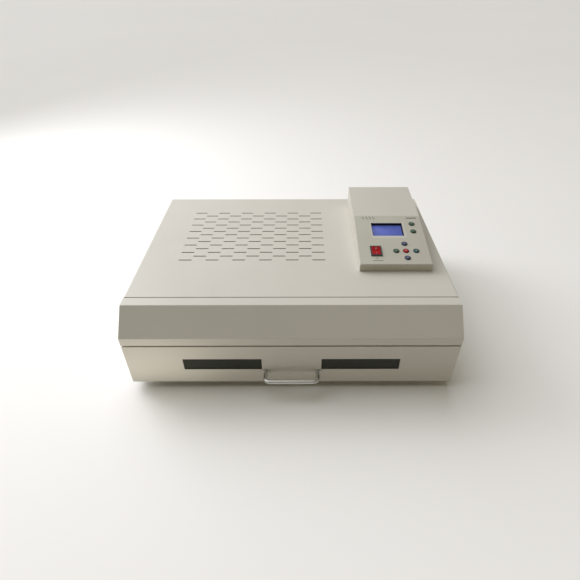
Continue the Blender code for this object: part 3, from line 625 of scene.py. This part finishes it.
def casing_screws():
    """The screws of the casing, its fittings and the drawer's front."""
    small = screw_mesh("screw_small", 0.0028, 0.0018)
    large = screw_mesh("screw_large", 0.0038, 0.0024)

    # the rear panel's rim
    margin = 0.008
    top = PANEL_HIGH.z - margin
    bottom = PANEL_LOW.z + margin
    sides = PANEL_HIGH.x - margin
    thirds = 0.115
    places = [(x, REAR, z) for z in (bottom, top) for x in (-sides, -thirds, thirds, sides)]
    places += [(x, REAR, (top + bottom) / 2) for x in (-sides, sides)]
    screws("rear_screw", large, places, REARWARD, BODY)

    # the corners of both fans
    inset = 0.0045
    for label, by_rows in (("cooling", False), ("exhaust", True)):
        low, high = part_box(label + "_fan_frame")
        columns = (low.x + inset, high.x - inset)
        rows = (low.z + inset, high.z - inset)
        if by_rows:
            places = [(x, REAR, z) for z in rows for x in columns]
        else:
            places = [(x, REAR, z) for x in columns for z in rows]
        screws(label + "_fan_screw", large, places, REARWARD, BODY)

    # the exhaust's flange
    centre = centre_of("exhaust_collar")
    flange_top = REAR + 0.0015
    places = [(centre.x + x, flange_top, centre.z + z) for x, z in ring(COLLAR_SCREW_CIRCLE, 4)]
    screws("collar_screw", small, places, REARWARD, BODY)

    # both ends of the mains inlet
    low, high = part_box("power_inlet")
    middle = (low.z + high.z) / 2
    inset = 0.006
    places = [(x, high.y, middle) for x in (low.x + inset, high.x - inset)]
    screws("inlet_screw", small, places, REARWARD, BODY)

    # the underside, along its sides and rear
    places = [(x, y, TRAY_BOTTOM) for x in (-0.335, 0.335) for y in (-0.15, 0.02, 0.19)]
    places += [(x, 0.252, TRAY_BOTTOM) for x in (-0.22, 0.0, 0.22)]
    screws("tray_screw", large, places, (0, 0, -1), BODY)

    # the control box's rear
    height = TOP + 0.010
    inset = 0.02
    places = [(x, BOX_HIGH.y, height) for x in (BOX_LOW.x + inset, BOX_HIGH.x - inset)]
    screws("box_screw", small, places, REARWARD, BODY)

    # the drawer front's rear face, behind the handle and at the corners
    face = FRONT_HIGH.y
    height = centre_of("drawer_handle").z
    places = [(x, face, height) for x in (-HANDLE_HALF, HANDLE_HALF)]
    screws("handle_screw", large, places, REARWARD, DRAWER)
    places = [(x, face, z) for x in (-0.31, 0.31) for z in (0.030, 0.118)]
    screws("face_screw", small, places, REARWARD, DRAWER)


# ---------------------------------------------------------------- body


def rounded(centre, half, radius, grow):
    """The points of a rounded rectangle, grown outwards by some distance."""
    points = []
    steps = 12 if radius > 0.01 else 5
    for sx, sy, start in ((1, 1, 0.0), (-1, 1, 0.5), (-1, -1, 1.0), (1, -1, 1.5)):
        for i in range(steps + 1):
            angle = math.pi * (start + 0.5 * i / steps)
            point = Vector(
                (
                    centre[0] + sx * (half[0] - radius) + (radius + grow) * math.cos(angle),
                    centre[1] + sy * (half[1] - radius) + (radius + grow) * math.sin(angle),
                )
            )
            if not points or (point - points[-1]).length > SAME_PLACE:
                points.append(point)
    if (points[0] - points[-1]).length < SAME_PLACE:
        points.pop()
    return points


def bridged(shape, rings):
    """Faces between closed rings of as many points each."""
    for a, b in zip(rings, rings[1:]):
        for i in range(len(a)):
            j = (i + 1) % len(a)
            shape.faces.new((a[i], a[j], b[j], b[i]))


def edges_round(shape, verts):
    """The edges of a closed ring, made where they are missing."""
    return [shape.edges.get(pair) or shape.edges.new(pair) for pair in zip(verts, verts[1:] + verts[:1])]


def perforated(shape, borders, holes, place):
    """Both skins of a flat sheet with holes, and the holes' rounded rims. The place maps x, y and depth."""
    edges = [edges_round(shape, border) for border in borders]
    for hole in holes:
        rings = []
        for grow, depth in RIM:
            rings.append([shape.verts.new(place(x, y, depth)) for x, y in rounded(*hole, grow)])
        bridged(shape, rings)
        edges[0] += edges_round(shape, rings[0])
        edges[1] += edges_round(shape, rings[-1])
    for skin in edges:
        bmesh.ops.triangle_fill(shape, use_beauty=True, use_dissolve=False, edges=skin)


def cover_slots():
    """The middle, half size and corner radius of each slot in the cover."""
    slots = []
    for row in range(SLOT_ROWS):
        short = row % 2
        y = SLOTS_FRONT + row * SLOT_ROW_PITCH
        for i in range(SLOTS_IN_LONG_ROW - short):
            x = SLOTS_LEFT + (2 * i + short) * SLOT_HALF_PITCH + SLOT_HALF[0]
            slots.append(((x, y), SLOT_HALF, SLOT_HALF[1]))
    return slots


def top_cover():
    """The folded cover, with its round-ended slots and side vents."""
    bend = 0.0025
    half = COVER_HIGH.x
    front = COVER_LOW.y
    rear = COVER_HIGH.y
    bottom = COVER_LOW.z
    right = [(half, bottom, 1.0, 0.0), (half, TOP - bend, 1.0, 0.0)]
    for angle in quarter(8)[1:]:
        across, up = math.cos(angle), math.sin(angle)
        right.append((half - bend + bend * across, TOP - bend + bend * up, across, up))
    profile = right + [(-x, z, -across, up) for x, z, across, up in reversed(right)]
    shape = bmesh.new()

    def run(inset, depth, y_from, way):
        """The profile's points at one end of the cover, at one step of the rim."""
        y = y_from + way * inset
        return [shape.verts.new((x - across * depth, y, z - up * depth)) for x, z, across, up in profile]

    near = [run(inset, depth, front, 1) for inset, depth in RIM]
    far = [run(inset, depth, rear, -1) for inset, depth in RIM]
    last = len(profile) - 1
    flats = {0: -1, len(right) - 1: 0, last - 1: 1}
    for rows in (near, far):
        for a, b in zip(rows, rows[1:]):
            for i in range(last):
                shape.faces.new((a[i], a[i + 1], b[i + 1], b[i]))
    for i in range(last):
        if i in flats:
            continue
        for skin in (0, -1):
            shape.faces.new((near[skin][i], near[skin][i + 1], far[skin][i + 1], far[skin][i]))
    for i in (0, last):
        shape.faces.new([row[i] for row in near] + [row[i] for row in reversed(far)])
    vents = [((0.1915 + 0.009 * i, 0.100), (0.0015, 0.025), 0.0015) for i in range(6)]
    wiring = ((0.230, 0.130), (0.030, 0.020), 0.003)
    for i, side in flats.items():
        borders = [[near[skin][i], near[skin][i + 1], far[skin][i + 1], far[skin][i]] for skin in (0, -1)]
        if side:
            perforated(shape, borders, vents, lambda y, z, depth, way=-side: (way * (half - depth), y, z))
        else:
            perforated(shape, borders, cover_slots() + [wiring], lambda x, y, depth: (x, y, TOP - depth))
    mesh = to_mesh(shape, "fine_top_cover")
    piece = weighted(new_piece("fine_top_cover", mesh, BODY, "body_paint"))
    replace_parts(piece, "top_cover")


def rear_panel():
    """The flat rear, with the exhaust's hole, the slots before the cooling fan, and the inlet's hole."""
    centre = ((PANEL_LOW.x + PANEL_HIGH.x) / 2, (PANEL_LOW.z + PANEL_HIGH.z) / 2)
    half = ((PANEL_HIGH.x - PANEL_LOW.x) / 2, (PANEL_HIGH.z - PANEL_LOW.z) / 2)
    fan = centre_of("cooling_fan_frame")
    collar = centre_of("exhaust_collar")
    inlet = centre_of("power_inlet")
    holes = [((collar.x, collar.z), (EXHAUST_HOLE, EXHAUST_HOLE), EXHAUST_HOLE)]
    slot_pitch = 0.0085
    slot_half = 0.0020
    fan_radius = 0.036
    for i in range(-4, 5):
        rise = slot_pitch * i
        across = math.sqrt(fan_radius**2 - rise**2)
        holes.append(((fan.x, fan.z + rise), (across, slot_half), slot_half))
    holes.append(((inlet.x, inlet.z), (0.0170, 0.0130), 0.0010))
    shape = bmesh.new()
    rings = []
    for inset, depth in RIM:
        outline = rounded(centre, half, 0.0015, -inset)
        rings.append([shape.verts.new((x, REAR - depth, z)) for x, z in outline])
    bridged(shape, rings)
    perforated(shape, [rings[0], rings[-1]], holes, lambda x, z, depth: (x, REAR - depth, z))
    piece = weighted(new_piece("fine_rear_panel", to_mesh(shape, "fine_rear_panel"), BODY, "body_paint"))
    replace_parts(piece, "rear_panel")


def sheet_metal():
    """The folded sheets. The painted outer ones get a wider edge than the plated inner ones."""
    for node in ("front_hood", "drawer_front", "control_box_cover"):
        refined(node, 0.00045)
    top_cover()
    rear_panel()
    for node in ("base_tray", "drawer_box", "drawer_inner_face", "exhaust_duct"):
        refined(node, 0.0003, 1)
    for node in ("heater_rack_left", "heater_rack_right"):
        refined(node, 0.0003, 1)
    for place in ("left", "right"):
        for kind in ("outer", "middle", "inner"):
            refined(f"slide_{kind}_{place}", 0.00025, 1)
    for node in ("chamber_left_wall", "chamber_right_wall", "chamber_rear_wall", "chamber_ceiling"):
        refined(node, 0.0003, 1)


def feet():
    """Moulded feet with a stepped rim, a tapered side and a screw in the recess."""
    for node in ("foot_front_left", "foot_front_right", "foot_rear_left", "foot_rear_right"):
        centre = centre_of(node)
        place = Matrix.Translation((centre.x, centre.y, 0))
        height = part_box(node)[1].z
        profile = [(0.0, height), (0.0158, height), (0.0160, height - 0.0003), (0.0160, height - 0.0028)]
        profile += [(0.0157, height - 0.0032), (0.0150, height - 0.0034), (0.0137, 0.0018), (0.0133, 0.0006)]
        profile += [(0.0125, 0.0), (0.0055, 0.0), (0.0050, 0.0005), (0.0050, 0.008), (0.0, 0.008)]
        mesh = lathe("fine_" + node, profile, 48)
        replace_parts(new_piece("fine_" + node, mesh, BODY, "rubber", None, place), node)
        head = lathe("foot_bolt", [(0.0, 0.0050), (0.0030, 0.0052), (0.0038, 0.0062), (0.0038, 0.0081)], 20)
        new_piece("bolt_" + node, head, BODY, "steel", "screw_zinc", place)


def seals():
    """Woven tape on the flanges that the drawer's front closes against."""
    rear = FRONT_HIGH.y + 0.0013
    inner_edge = 0.3245
    outer_edge = 0.3365
    for label, side in (("left", -1), ("right", 1)):
        near = side * inner_edge
        far = side * outer_edge
        low = (min(near, far), rear - 0.0010, FRONT_LOW.z + 0.004)
        high = (max(near, far), rear, FRONT_HIGH.z - 0.003)
        new_piece("drawer_seal_" + label, block("seal", low, high, 0.0004), BODY, "insulation")


def rear_fittings():
    """The exhaust's beaded collar and wire guard, the fans' frames and the mains inlet."""
    low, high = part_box("exhaust_collar")
    centre = (low + high) / 2
    outer = 0.0375
    inner = 0.0363
    tip = high.y - REAR
    base = low.y - REAR
    profile = [(outer, tip - 0.0004)]
    profile += [(outer, tip - 0.0062), (outer + 0.0010, tip - 0.0072)]
    profile += [(outer + 0.0010, tip - 0.0082), (outer, tip - 0.0092)]
    profile += [(outer, base + 0.0030), (outer + 0.0006, base + 0.0016), (0.0456, base + 0.0012)]
    profile += [(0.0460, base + 0.0009), (0.0460, base), (inner, base), (inner, tip - 0.0004)]
    profile += [(inner + 0.0003, tip), (outer - 0.0003, tip)]
    mesh = lathe("fine_exhaust_collar", profile, 72, closed=True)
    place = facing(REARWARD, (centre.x, REAR, centre.z))
    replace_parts(new_piece("fine_exhaust_collar", mesh, BODY, "galvanised", None, place), "exhaust_collar")

    guard_y = REAR + 0.0030
    rings = [
        [(centre.x + x, guard_y, centre.z + z) for x, z in ring(radius, 48)]
        for radius in (0.0085, 0.0155, 0.0225, 0.0295)
    ]
    wires("exhaust_guard_rings", rings, 0.0007, BODY, "steel", cyclic=True)
    spokes = []
    spoke = 0.0362
    for angle in (math.pi / 4, 3 * math.pi / 4):
        across, up = spoke * math.cos(angle), spoke * math.sin(angle)
        spokes.append([(centre.x + way * across, guard_y - 0.0012, centre.z + way * up) for way in (-1, 1)])
    wires("exhaust_guard_spokes", spokes, 0.0009, BODY, "steel")

    for node in ("power_inlet", "exhaust_fan_frame", "cooling_fan_frame"):
        refined(node, 0.0004)


def rotors():
    """Impellers with curved blades, each rising out of the hub and twisting towards its tip."""
    hub = 0.018
    tip = 0.0362
    root = hub - 0.0005
    blades = 7
    along_steps = 8
    out_steps = 6
    profile = [(0.0, -0.0090), (0.0160, -0.0090), (0.0176, -0.0084), (hub, -0.0070)]
    profile += [(hub, 0.0095), (0.0, 0.0095)]
    for node in ("exhaust_fan_rotor", "cooling_fan_rotor"):
        shape = bmesh.new()
        shape.from_mesh(lathe("hub", profile, 40))
        for number in range(blades):
            rows = []
            for i in range(out_steps + 1):
                reach = i / out_steps
                radius = root + (tip - hub + 0.0005) * reach
                pitch = math.radians(50 - 18 * reach)
                chord = 0.0105 + 0.0010 * reach
                row = []
                for j in range(along_steps + 1):
                    along = 2 * j / along_steps - 1
                    camber = 0.0016 * (1 - along * along)
                    u = chord * along * math.cos(pitch) + camber * math.sin(pitch)
                    h = chord * along * math.sin(pitch) * 0.82 - camber * math.cos(pitch)
                    angle = math.tau * number / blades + u / radius + 0.25 * reach
                    row.append(shape.verts.new((radius * math.cos(angle), radius * math.sin(angle), h)))
                rows.append(row)
            for a, b in zip(rows, rows[1:]):
                for j in range(along_steps):
                    shape.faces.new((a[j], a[j + 1], b[j + 1], b[j]))
        mesh = to_mesh(shape, "fine_" + node, 40)
        place = facing(REARWARD, centre_of(node))
        piece = new_piece("fine_" + node, mesh, BODY_OF[node], "black_plastic", None, place)
        thick = piece.modifiers.new("thickness", "SOLIDIFY")
        thick.thickness = 0.0009
        thick.offset = 0.0
        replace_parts(piece, node)


# ---------------------------------------------------------------- heating chamber


def heaters():
    """Quartz tubes with a coiled wire inside, and ceramic ends."""
    coil_radius = 0.0034
    half = 0.288
    pitch = 0.0075
    turns = int(2 * half / pitch)
    steps = 10
    coil = []
    for i in range(turns * steps + 1):
        angle = math.tau * i / steps
        coil.append((-half + pitch * i / steps, coil_radius * math.cos(angle), coil_radius * math.sin(angle)))
    profile = [(0.0060, 0.292), (0.0060, -0.292), (0.0049, -0.292), (0.0049, 0.292)]
    tube = lathe("quartz_tube", profile, 32, closed=True)
    profile = [(0.0, 0.3143), (0.0041, 0.3143), (0.0045, 0.3139), (0.0045, 0.3092), (0.0070, 0.3090)]
    profile += [(0.0075, 0.3085), (0.0075, 0.2945), (0.0071, 0.2935), (0.0061, 0.2930), (0.0061, 0.2900)]
    end = lathe("ceramic_end", profile, 32)
    for number in range(1, 7):
        node = f"heater_tube_{number}"
        centre = centre_of(node)
        piece = new_piece(f"quartz_{number}", tube, BODY, "quartz", None, facing((1, 0, 0), centre))
        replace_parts(piece, node)
        for label, direction in (("left", (-1, 0, 0)), ("right", (1, 0, 0))):
            new_piece(f"ceramic_{number}_{label}", end, BODY, "quartz", "ceramic", facing(direction, centre))
        path = [(centre.x + x, centre.y + y, centre.z + z) for x, y, z in coil]
        wires(f"heater_coil_{number}", [path], 0.0005, BODY, "steel", "resistance_wire", sides=1)


def probe():
    """The thermocouple's rod, and its gland on the chamber's rear wall."""
    low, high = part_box("thermocouple_probe")
    centre = (low + high) / 2
    rod = [(centre.x, low.y, centre.z), (centre.x, high.y, centre.z)]
    wires("fine_probe", [rod], 0.0015, BODY, "steel")
    profile = [(0.0, 0.0), (0.0052, 0.0), (0.0052, 0.0075), (0.0030, 0.0080), (0.0, 0.0080)]
    gland = lathe("probe_gland", profile, 6, angle=20)
    place = facing(REARWARD, (centre.x, 0.1800, centre.z))
    piece = new_piece("fine_probe_gland", gland, BODY, "steel", "screw_zinc", place)
    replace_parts(piece, "thermocouple_probe")


# ---------------------------------------------------------------- control panel


def icon(kind):
    """A small mark, as outlines about the middle of a cap."""
    size = 0.0022
    if kind in ("up", "down", "left", "right"):
        turn = {"up": 0.0, "left": math.pi / 2, "down": math.pi, "right": -math.pi / 2}[kind]
        arrow = [(-size, -size * 0.6), (size, -size * 0.6), (0.0, size)]
        cos, sin = math.cos(turn), math.sin(turn)
        return [[(x * cos - y * sin, x * sin + y * cos) for x, y in arrow]]
    if kind == "enter":
        return [rectangle(-0.0015, -0.0015, 0.0015, 0.0015)]
    bars = 3 if kind == "heat" else 2
    lows = [(i - (bars - 1) / 2) * 0.0013 - 0.00025 for i in range(bars)]
    return [rectangle(-0.0018, low, 0.0018, low + 0.0005) for low in lows]


def buttons():
    """Caps with a mark each, in rings on the panel."""
    profile = [(0.0, CAP_TOP + 0.0001), (0.0030, CAP_TOP + 0.0001), (0.0044, CAP_TOP)]
    profile += [(0.0052, CAP_TOP - 0.0003), (0.0056, CAP_TOP - 0.0007), (0.0058, CAP_TOP - 0.0013)]
    profile += [(0.0058, -0.0018), (0.0072, -0.0018), (0.0072, -0.0030)]
    profile += [(0.0020, -0.0030), (0.0020, -0.0093), (0.0, -0.0093)]
    rim_profile = [(0.0064, PRINT_LOW), (0.0064, 0.00105), (0.0075, 0.00105), (0.0075, PRINT_LOW)]
    for kind in ("up", "left", "enter", "right", "down", "heat", "fan"):
        node = "button_" + kind
        centre = on_panel(node)
        place = PANEL @ Matrix.Translation((centre.x, centre.y, 0))
        mesh = lathe("fine_" + node, profile, 40, angle=50)
        piece = new_piece("fine_" + node, mesh, BODY_OF[node], SLOT_OF[node], None, place)
        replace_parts(piece, node)
        marks = [plate("mark", outline, CAP_TOP - 0.0002, CAP_TOP + 0.00018) for outline in icon(kind)]
        mark = merged("mark_" + kind, marks)
        new_piece("mark_" + kind, mark, BODY_OF[node], SLOT_OF[node], "pale_print", place)
        new_piece("rim_" + kind, lathe("rim", rim_profile, 40), BODY, "overlay", "print", place)


def power_switch():
    """The bezel and the rocker, with a bar on its near half and a circle on its far half."""
    refined("switch_housing", 0.0005)
    refined("switch_rocker", 0.0007, 3)
    pivot = Vector(JOINTS["rocker_turn"]["pos_m"])
    half_throw = math.radians(9)
    place = Matrix.Translation(pivot) @ Matrix.Rotation(SLOPE + half_throw, 4, "X")
    lean = math.atan2(0.0014, 0.0114)
    reach = 0.0062
    height = 0.0085
    far = place @ Matrix.Translation((0, reach, height)) @ Matrix.Rotation(lean, 4, "X")
    near = place @ Matrix.Translation((0, -reach, height)) @ Matrix.Rotation(-lean, 4, "X")
    low = -0.0002
    high = 0.00025
    bar = plate("on_mark", rectangle(-0.0004, -0.0018, 0.0004, 0.0018), low, high)
    new_piece("rocker_on_mark", bar, "power_rocker", "red", "pale_print", near)
    circle = lathe("off_mark", [(0.0013, low), (0.0013, high), (0.0020, high), (0.0020, low)], 28)
    new_piece("rocker_off_mark", circle, "power_rocker", "red", "pale_print", far)


def display():
    """The lit glass, its dark border, and a pale frame round the window: printed, with a painted reflection of the
    screen's glow below it and a painted highlight at its right.
    """
    centre = on_panel("lcd_glass")
    top = -0.0060
    glass = block("screen", (-0.0354, -0.0220, top - 0.0010), (0.0354, 0.0216, top + 0.0002), 0.0002)
    place = PANEL @ Matrix.Translation((centre.x, centre.y, 0))
    new_piece("lcd_screen", glass, BODY, "display", None, place)
    border = block("border", (-0.0376, -0.0236, top - 0.0018), (0.0376, 0.0236, top), 0.0002)
    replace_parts(new_piece("lcd_border", border, BODY, "display", "display_edge", place), "lcd_glass")
    # Pale strips, widest below and at the right: a printed frame, with the screen's glow painted on as a
    # reflection below and as a highlight at the right.
    strips = [
        ((-0.0400, -0.0310), (0.0420, -0.0245)),
        ((-0.0400, 0.0245), (0.0420, 0.0265)),
        ((0.0385, -0.0245), (0.0420, 0.0245)),
        ((-0.0400, -0.0245), (-0.0385, 0.0245)),
    ]
    blocks = [block("strip", (*a, PRINT_LOW), (*b, PRINT_HIGH), 0.0) for a, b in strips]
    new_piece("display_frame_and_highlight", merged("display_frame_and_highlight", blocks), BODY, "overlay", "frame_print_and_highlight", place)


def legends():
    """Plain printed marks: four waves at the top left, a rule at the top right, two dashes by the switch."""
    marks = []
    width = 0.0016
    swing = 0.0016
    steps = 12
    near = 0.1570
    length = 0.0100
    for i in range(4):
        left = -0.060 + 0.0085 * i
        wave = []
        for t in range(steps + 1):
            wave.append((left + swing * math.sin(t * math.tau / steps), near + length * t / steps))
        back = [(x + width, y) for x, y in reversed(wave)]
        marks.append(plate("wave", wave + back, PRINT_LOW, PRINT_HIGH))
    for name, outline in (
        ("rule", rectangle(0.046, 0.1605, 0.072, 0.1635)),
        ("dash", rectangle(-0.0445, 0.0195, -0.0375, 0.0207)),
        ("dash", rectangle(-0.0500, 0.0120, -0.0280, 0.0135)),
    ):
        marks.append(plate(name, outline, PRINT_LOW, PRINT_HIGH))
    new_piece("panel_marks", merged("panel_marks", marks), BODY, "overlay", "print", PANEL)


# ---------------------------------------------------------------- drawer


def rack():
    """Round wires welded into a grid: a rim, many bars over it and a few ties under it."""
    rim_radius = 0.0017
    left = RACK_LOW.x + rim_radius
    right = RACK_HIGH.x - rim_radius
    near = RACK_LOW.y + rim_radius
    far = RACK_HIGH.y - rim_radius
    level = RACK_LOW.z + rim_radius
    corner = 0.012
    loop = []
    for cx, cy, start in (
        (right - corner, far - corner, 0.0),
        (left + corner, far - corner, math.pi / 2),
        (left + corner, near + corner, math.pi),
        (right - corner, near + corner, 3 * math.pi / 2),
    ):
        for angle in quarter(6):
            turn = start + angle
            loop.append((cx + corner * math.cos(turn), cy + corner * math.sin(turn), level))
    rim = wires("rack_rim", [loop], rim_radius, DRAWER, "steel", cyclic=True)
    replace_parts(rim, "wire_rack")
    bars = []
    gaps = 38
    height = level + 0.0006
    for i in range(1, gaps):
        x = left + (right - left) * i / gaps
        bars.append([(x, near, height), (x, far, height)])
    wires("rack_bars", bars, 0.0011, DRAWER, "steel")
    ties = []
    gaps = 6
    height = level - 0.0004
    for i in range(1, gaps):
        y = near + (far - near) * i / gaps
        ties.append([(left, y, height), (right, y, height)])
    wires("rack_ties", ties, 0.0013, DRAWER, "steel")


def handle():
    """The bow handle, with turned feet."""
    low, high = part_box("drawer_handle")
    radius = 0.0045
    z = (low.z + high.z) / 2
    reach = low.y + radius
    bend = 0.010
    path = [(HANDLE_HALF, high.y)]
    for angle in quarter(12):
        path.append((HANDLE_HALF - bend + bend * math.cos(angle), reach + bend - bend * math.sin(angle)))
    path += [(-x, y) for x, y in reversed(path)]
    bar = wires("fine_drawer_handle", [[(x, y, z) for x, y in path]], radius, DRAWER, "steel", sides=8)
    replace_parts(bar, "drawer_handle")
    profile = [(0.0045, 0.0036), (0.0062, 0.0034), (0.0072, 0.0026), (0.0075, 0.0016), (0.0075, 0.0)]
    foot = lathe("handle_foot", profile, 40)
    for label, x in (("left", -HANDLE_HALF), ("right", HANDLE_HALF)):
        new_piece("handle_foot_" + label, foot, DRAWER, "steel", None, facing((0, -1, 0), (x, high.y, z)))


def windows():
    """A black glazing strip round each window's opening, and clips behind the glass."""
    margin = 0.005
    thick = 0.0009
    for label in ("left", "right"):
        low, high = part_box("window_glass_" + label)
        x0, x1 = low.x + margin, high.x - margin
        z0, z1 = low.z + margin, high.z - margin
        y0, y1 = FRONT + 0.0004, low.y
        strips = [
            ((x0, y0, z0), (x1, y1, z0 + thick)),
            ((x0, y0, z1 - thick), (x1, y1, z1)),
            ((x0, y0, z0), (x0 + thick, y1, z1)),
            ((x1 - thick, y0, z0), (x1, y1, z1)),
        ]
        mesh = merged("glazing", [block("strip", a, b, 0.0002, 1) for a, b in strips])
        new_piece("glazing_" + label, mesh, DRAWER, "rubber")
        clips = []
        for x in (x0 + 0.02, x1 - 0.034):
            clips.append(((x, high.y, z0 - 0.010), (x + 0.014, high.y + SHEET, z0 + 0.003)))
        mesh = merged("clips", [block("clip", a, b, 0.0003, 1) for a, b in clips])
        new_piece("glass_clips_" + label, mesh, DRAWER, "galvanised")


def plain_nodes():
    """CAD nodes whose own shape is right get their finish here."""
    for node, piece in frame["nodes"].items():
        if piece.hide_render:
            continue
        piece.data.materials.clear()
        piece.data.materials.append(MATERIALS[SLOT_OF[node]])
        smooth(piece.data)


# ---------------------------------------------------------------- stage


def stage():
    """The floor."""
    bpy.ops.mesh.primitive_plane_add(size=60.0, location=(0, 0, 0))
    floor = bpy.context.object
    floor.name = "floor"
    floor.data.materials.append(pale_floor())


def area_light(name, place, target, size, power, colour):
    """A rectangular lamp that looks at the target."""
    data = bpy.data.lights.new(name, "AREA")
    data.shape = "RECTANGLE"
    data.size, data.size_y = size
    data.energy = power
    data.color = colour
    lamp = bpy.data.objects.new(name, data)
    bpy.context.scene.collection.objects.link(lamp)
    lamp.location = place
    lamp.rotation_euler = (Vector(target) - Vector(place)).to_track_quat("-Z", "Y").to_euler()
    return lamp


def lights():
    """A dim warm sky, a broad sun, a lamp at the left rear and a low lamp before the drawer's left end."""
    world = bpy.data.worlds.new("studio")
    world.use_nodes = True
    bpy.context.scene.world = world
    tree = world.node_tree
    sky = tree.nodes["Background"]
    sky.inputs["Color"].default_value = (1.0, 0.90, 0.62, 1.0)
    sky.inputs["Strength"].default_value = 0.19
    backdrop = tree.nodes.new("ShaderNodeBackground")
    backdrop.inputs["Color"].default_value = (0.86, 0.86, 0.85, 1.0)
    seen = tree.nodes.new("ShaderNodeLightPath")
    either = tree.nodes.new("ShaderNodeMixShader")
    tree.links.new(seen.outputs["Is Camera Ray"], either.inputs["Fac"])
    tree.links.new(sky.outputs["Background"], either.inputs[1])
    tree.links.new(backdrop.outputs["Background"], either.inputs[2])
    tree.links.new(either.outputs["Shader"], tree.nodes["World Output"].inputs["Surface"])
    data = bpy.data.lights.new("key", "SUN")
    data.energy = 2.35
    data.angle = math.radians(80)
    data.color = (0.975, 0.99, 1.055)
    key = bpy.data.objects.new("key", data)
    bpy.context.scene.collection.objects.link(key)
    key.rotation_euler = Vector((0.47, -0.42, -0.76)).to_track_quat("-Z", "Y").to_euler()
    area_light("window", (-1.45, 0.75, 1.15), (-0.10, 0.05, 0.15), (1.0, 1.0), 17.0, (0.985, 0.99, 1.04))
    place, above = (-0.325, -0.385, 0.004), (-0.325, -0.385, 1.0)
    bounce = area_light("low_bounce", place, above, (0.26, 0.12), 0.29, (1.0, 0.96, 0.88))
    bounce.visible_camera = False
    bounce.visible_glossy = False


def camera():
    """The view from above the front, with the frame shifted a little to the left."""
    data = bpy.data.cameras.new("camera")
    data.sensor_width = 36.0
    data.lens = 27.153
    data.shift_x = -0.01724
    data.clip_start = 0.01
    data.clip_end = 100.0
    view = bpy.data.objects.new("camera", data)
    bpy.context.scene.collection.objects.link(view)
    view.location = (0.01638, -0.89295, 0.77628)
    view.rotation_euler = (math.radians(51.756), 0.0, math.radians(-0.141))
    bpy.context.scene.camera = view


sheet_metal()
feet()
seals()
rear_fittings()
rotors()
heaters()
probe()
buttons()
power_switch()
display()
legends()
rack()
handle()
windows()
plain_nodes()
casing_screws()
stage()
lights()
camera()
bpy.context.scene.view_settings.view_transform = "Standard"
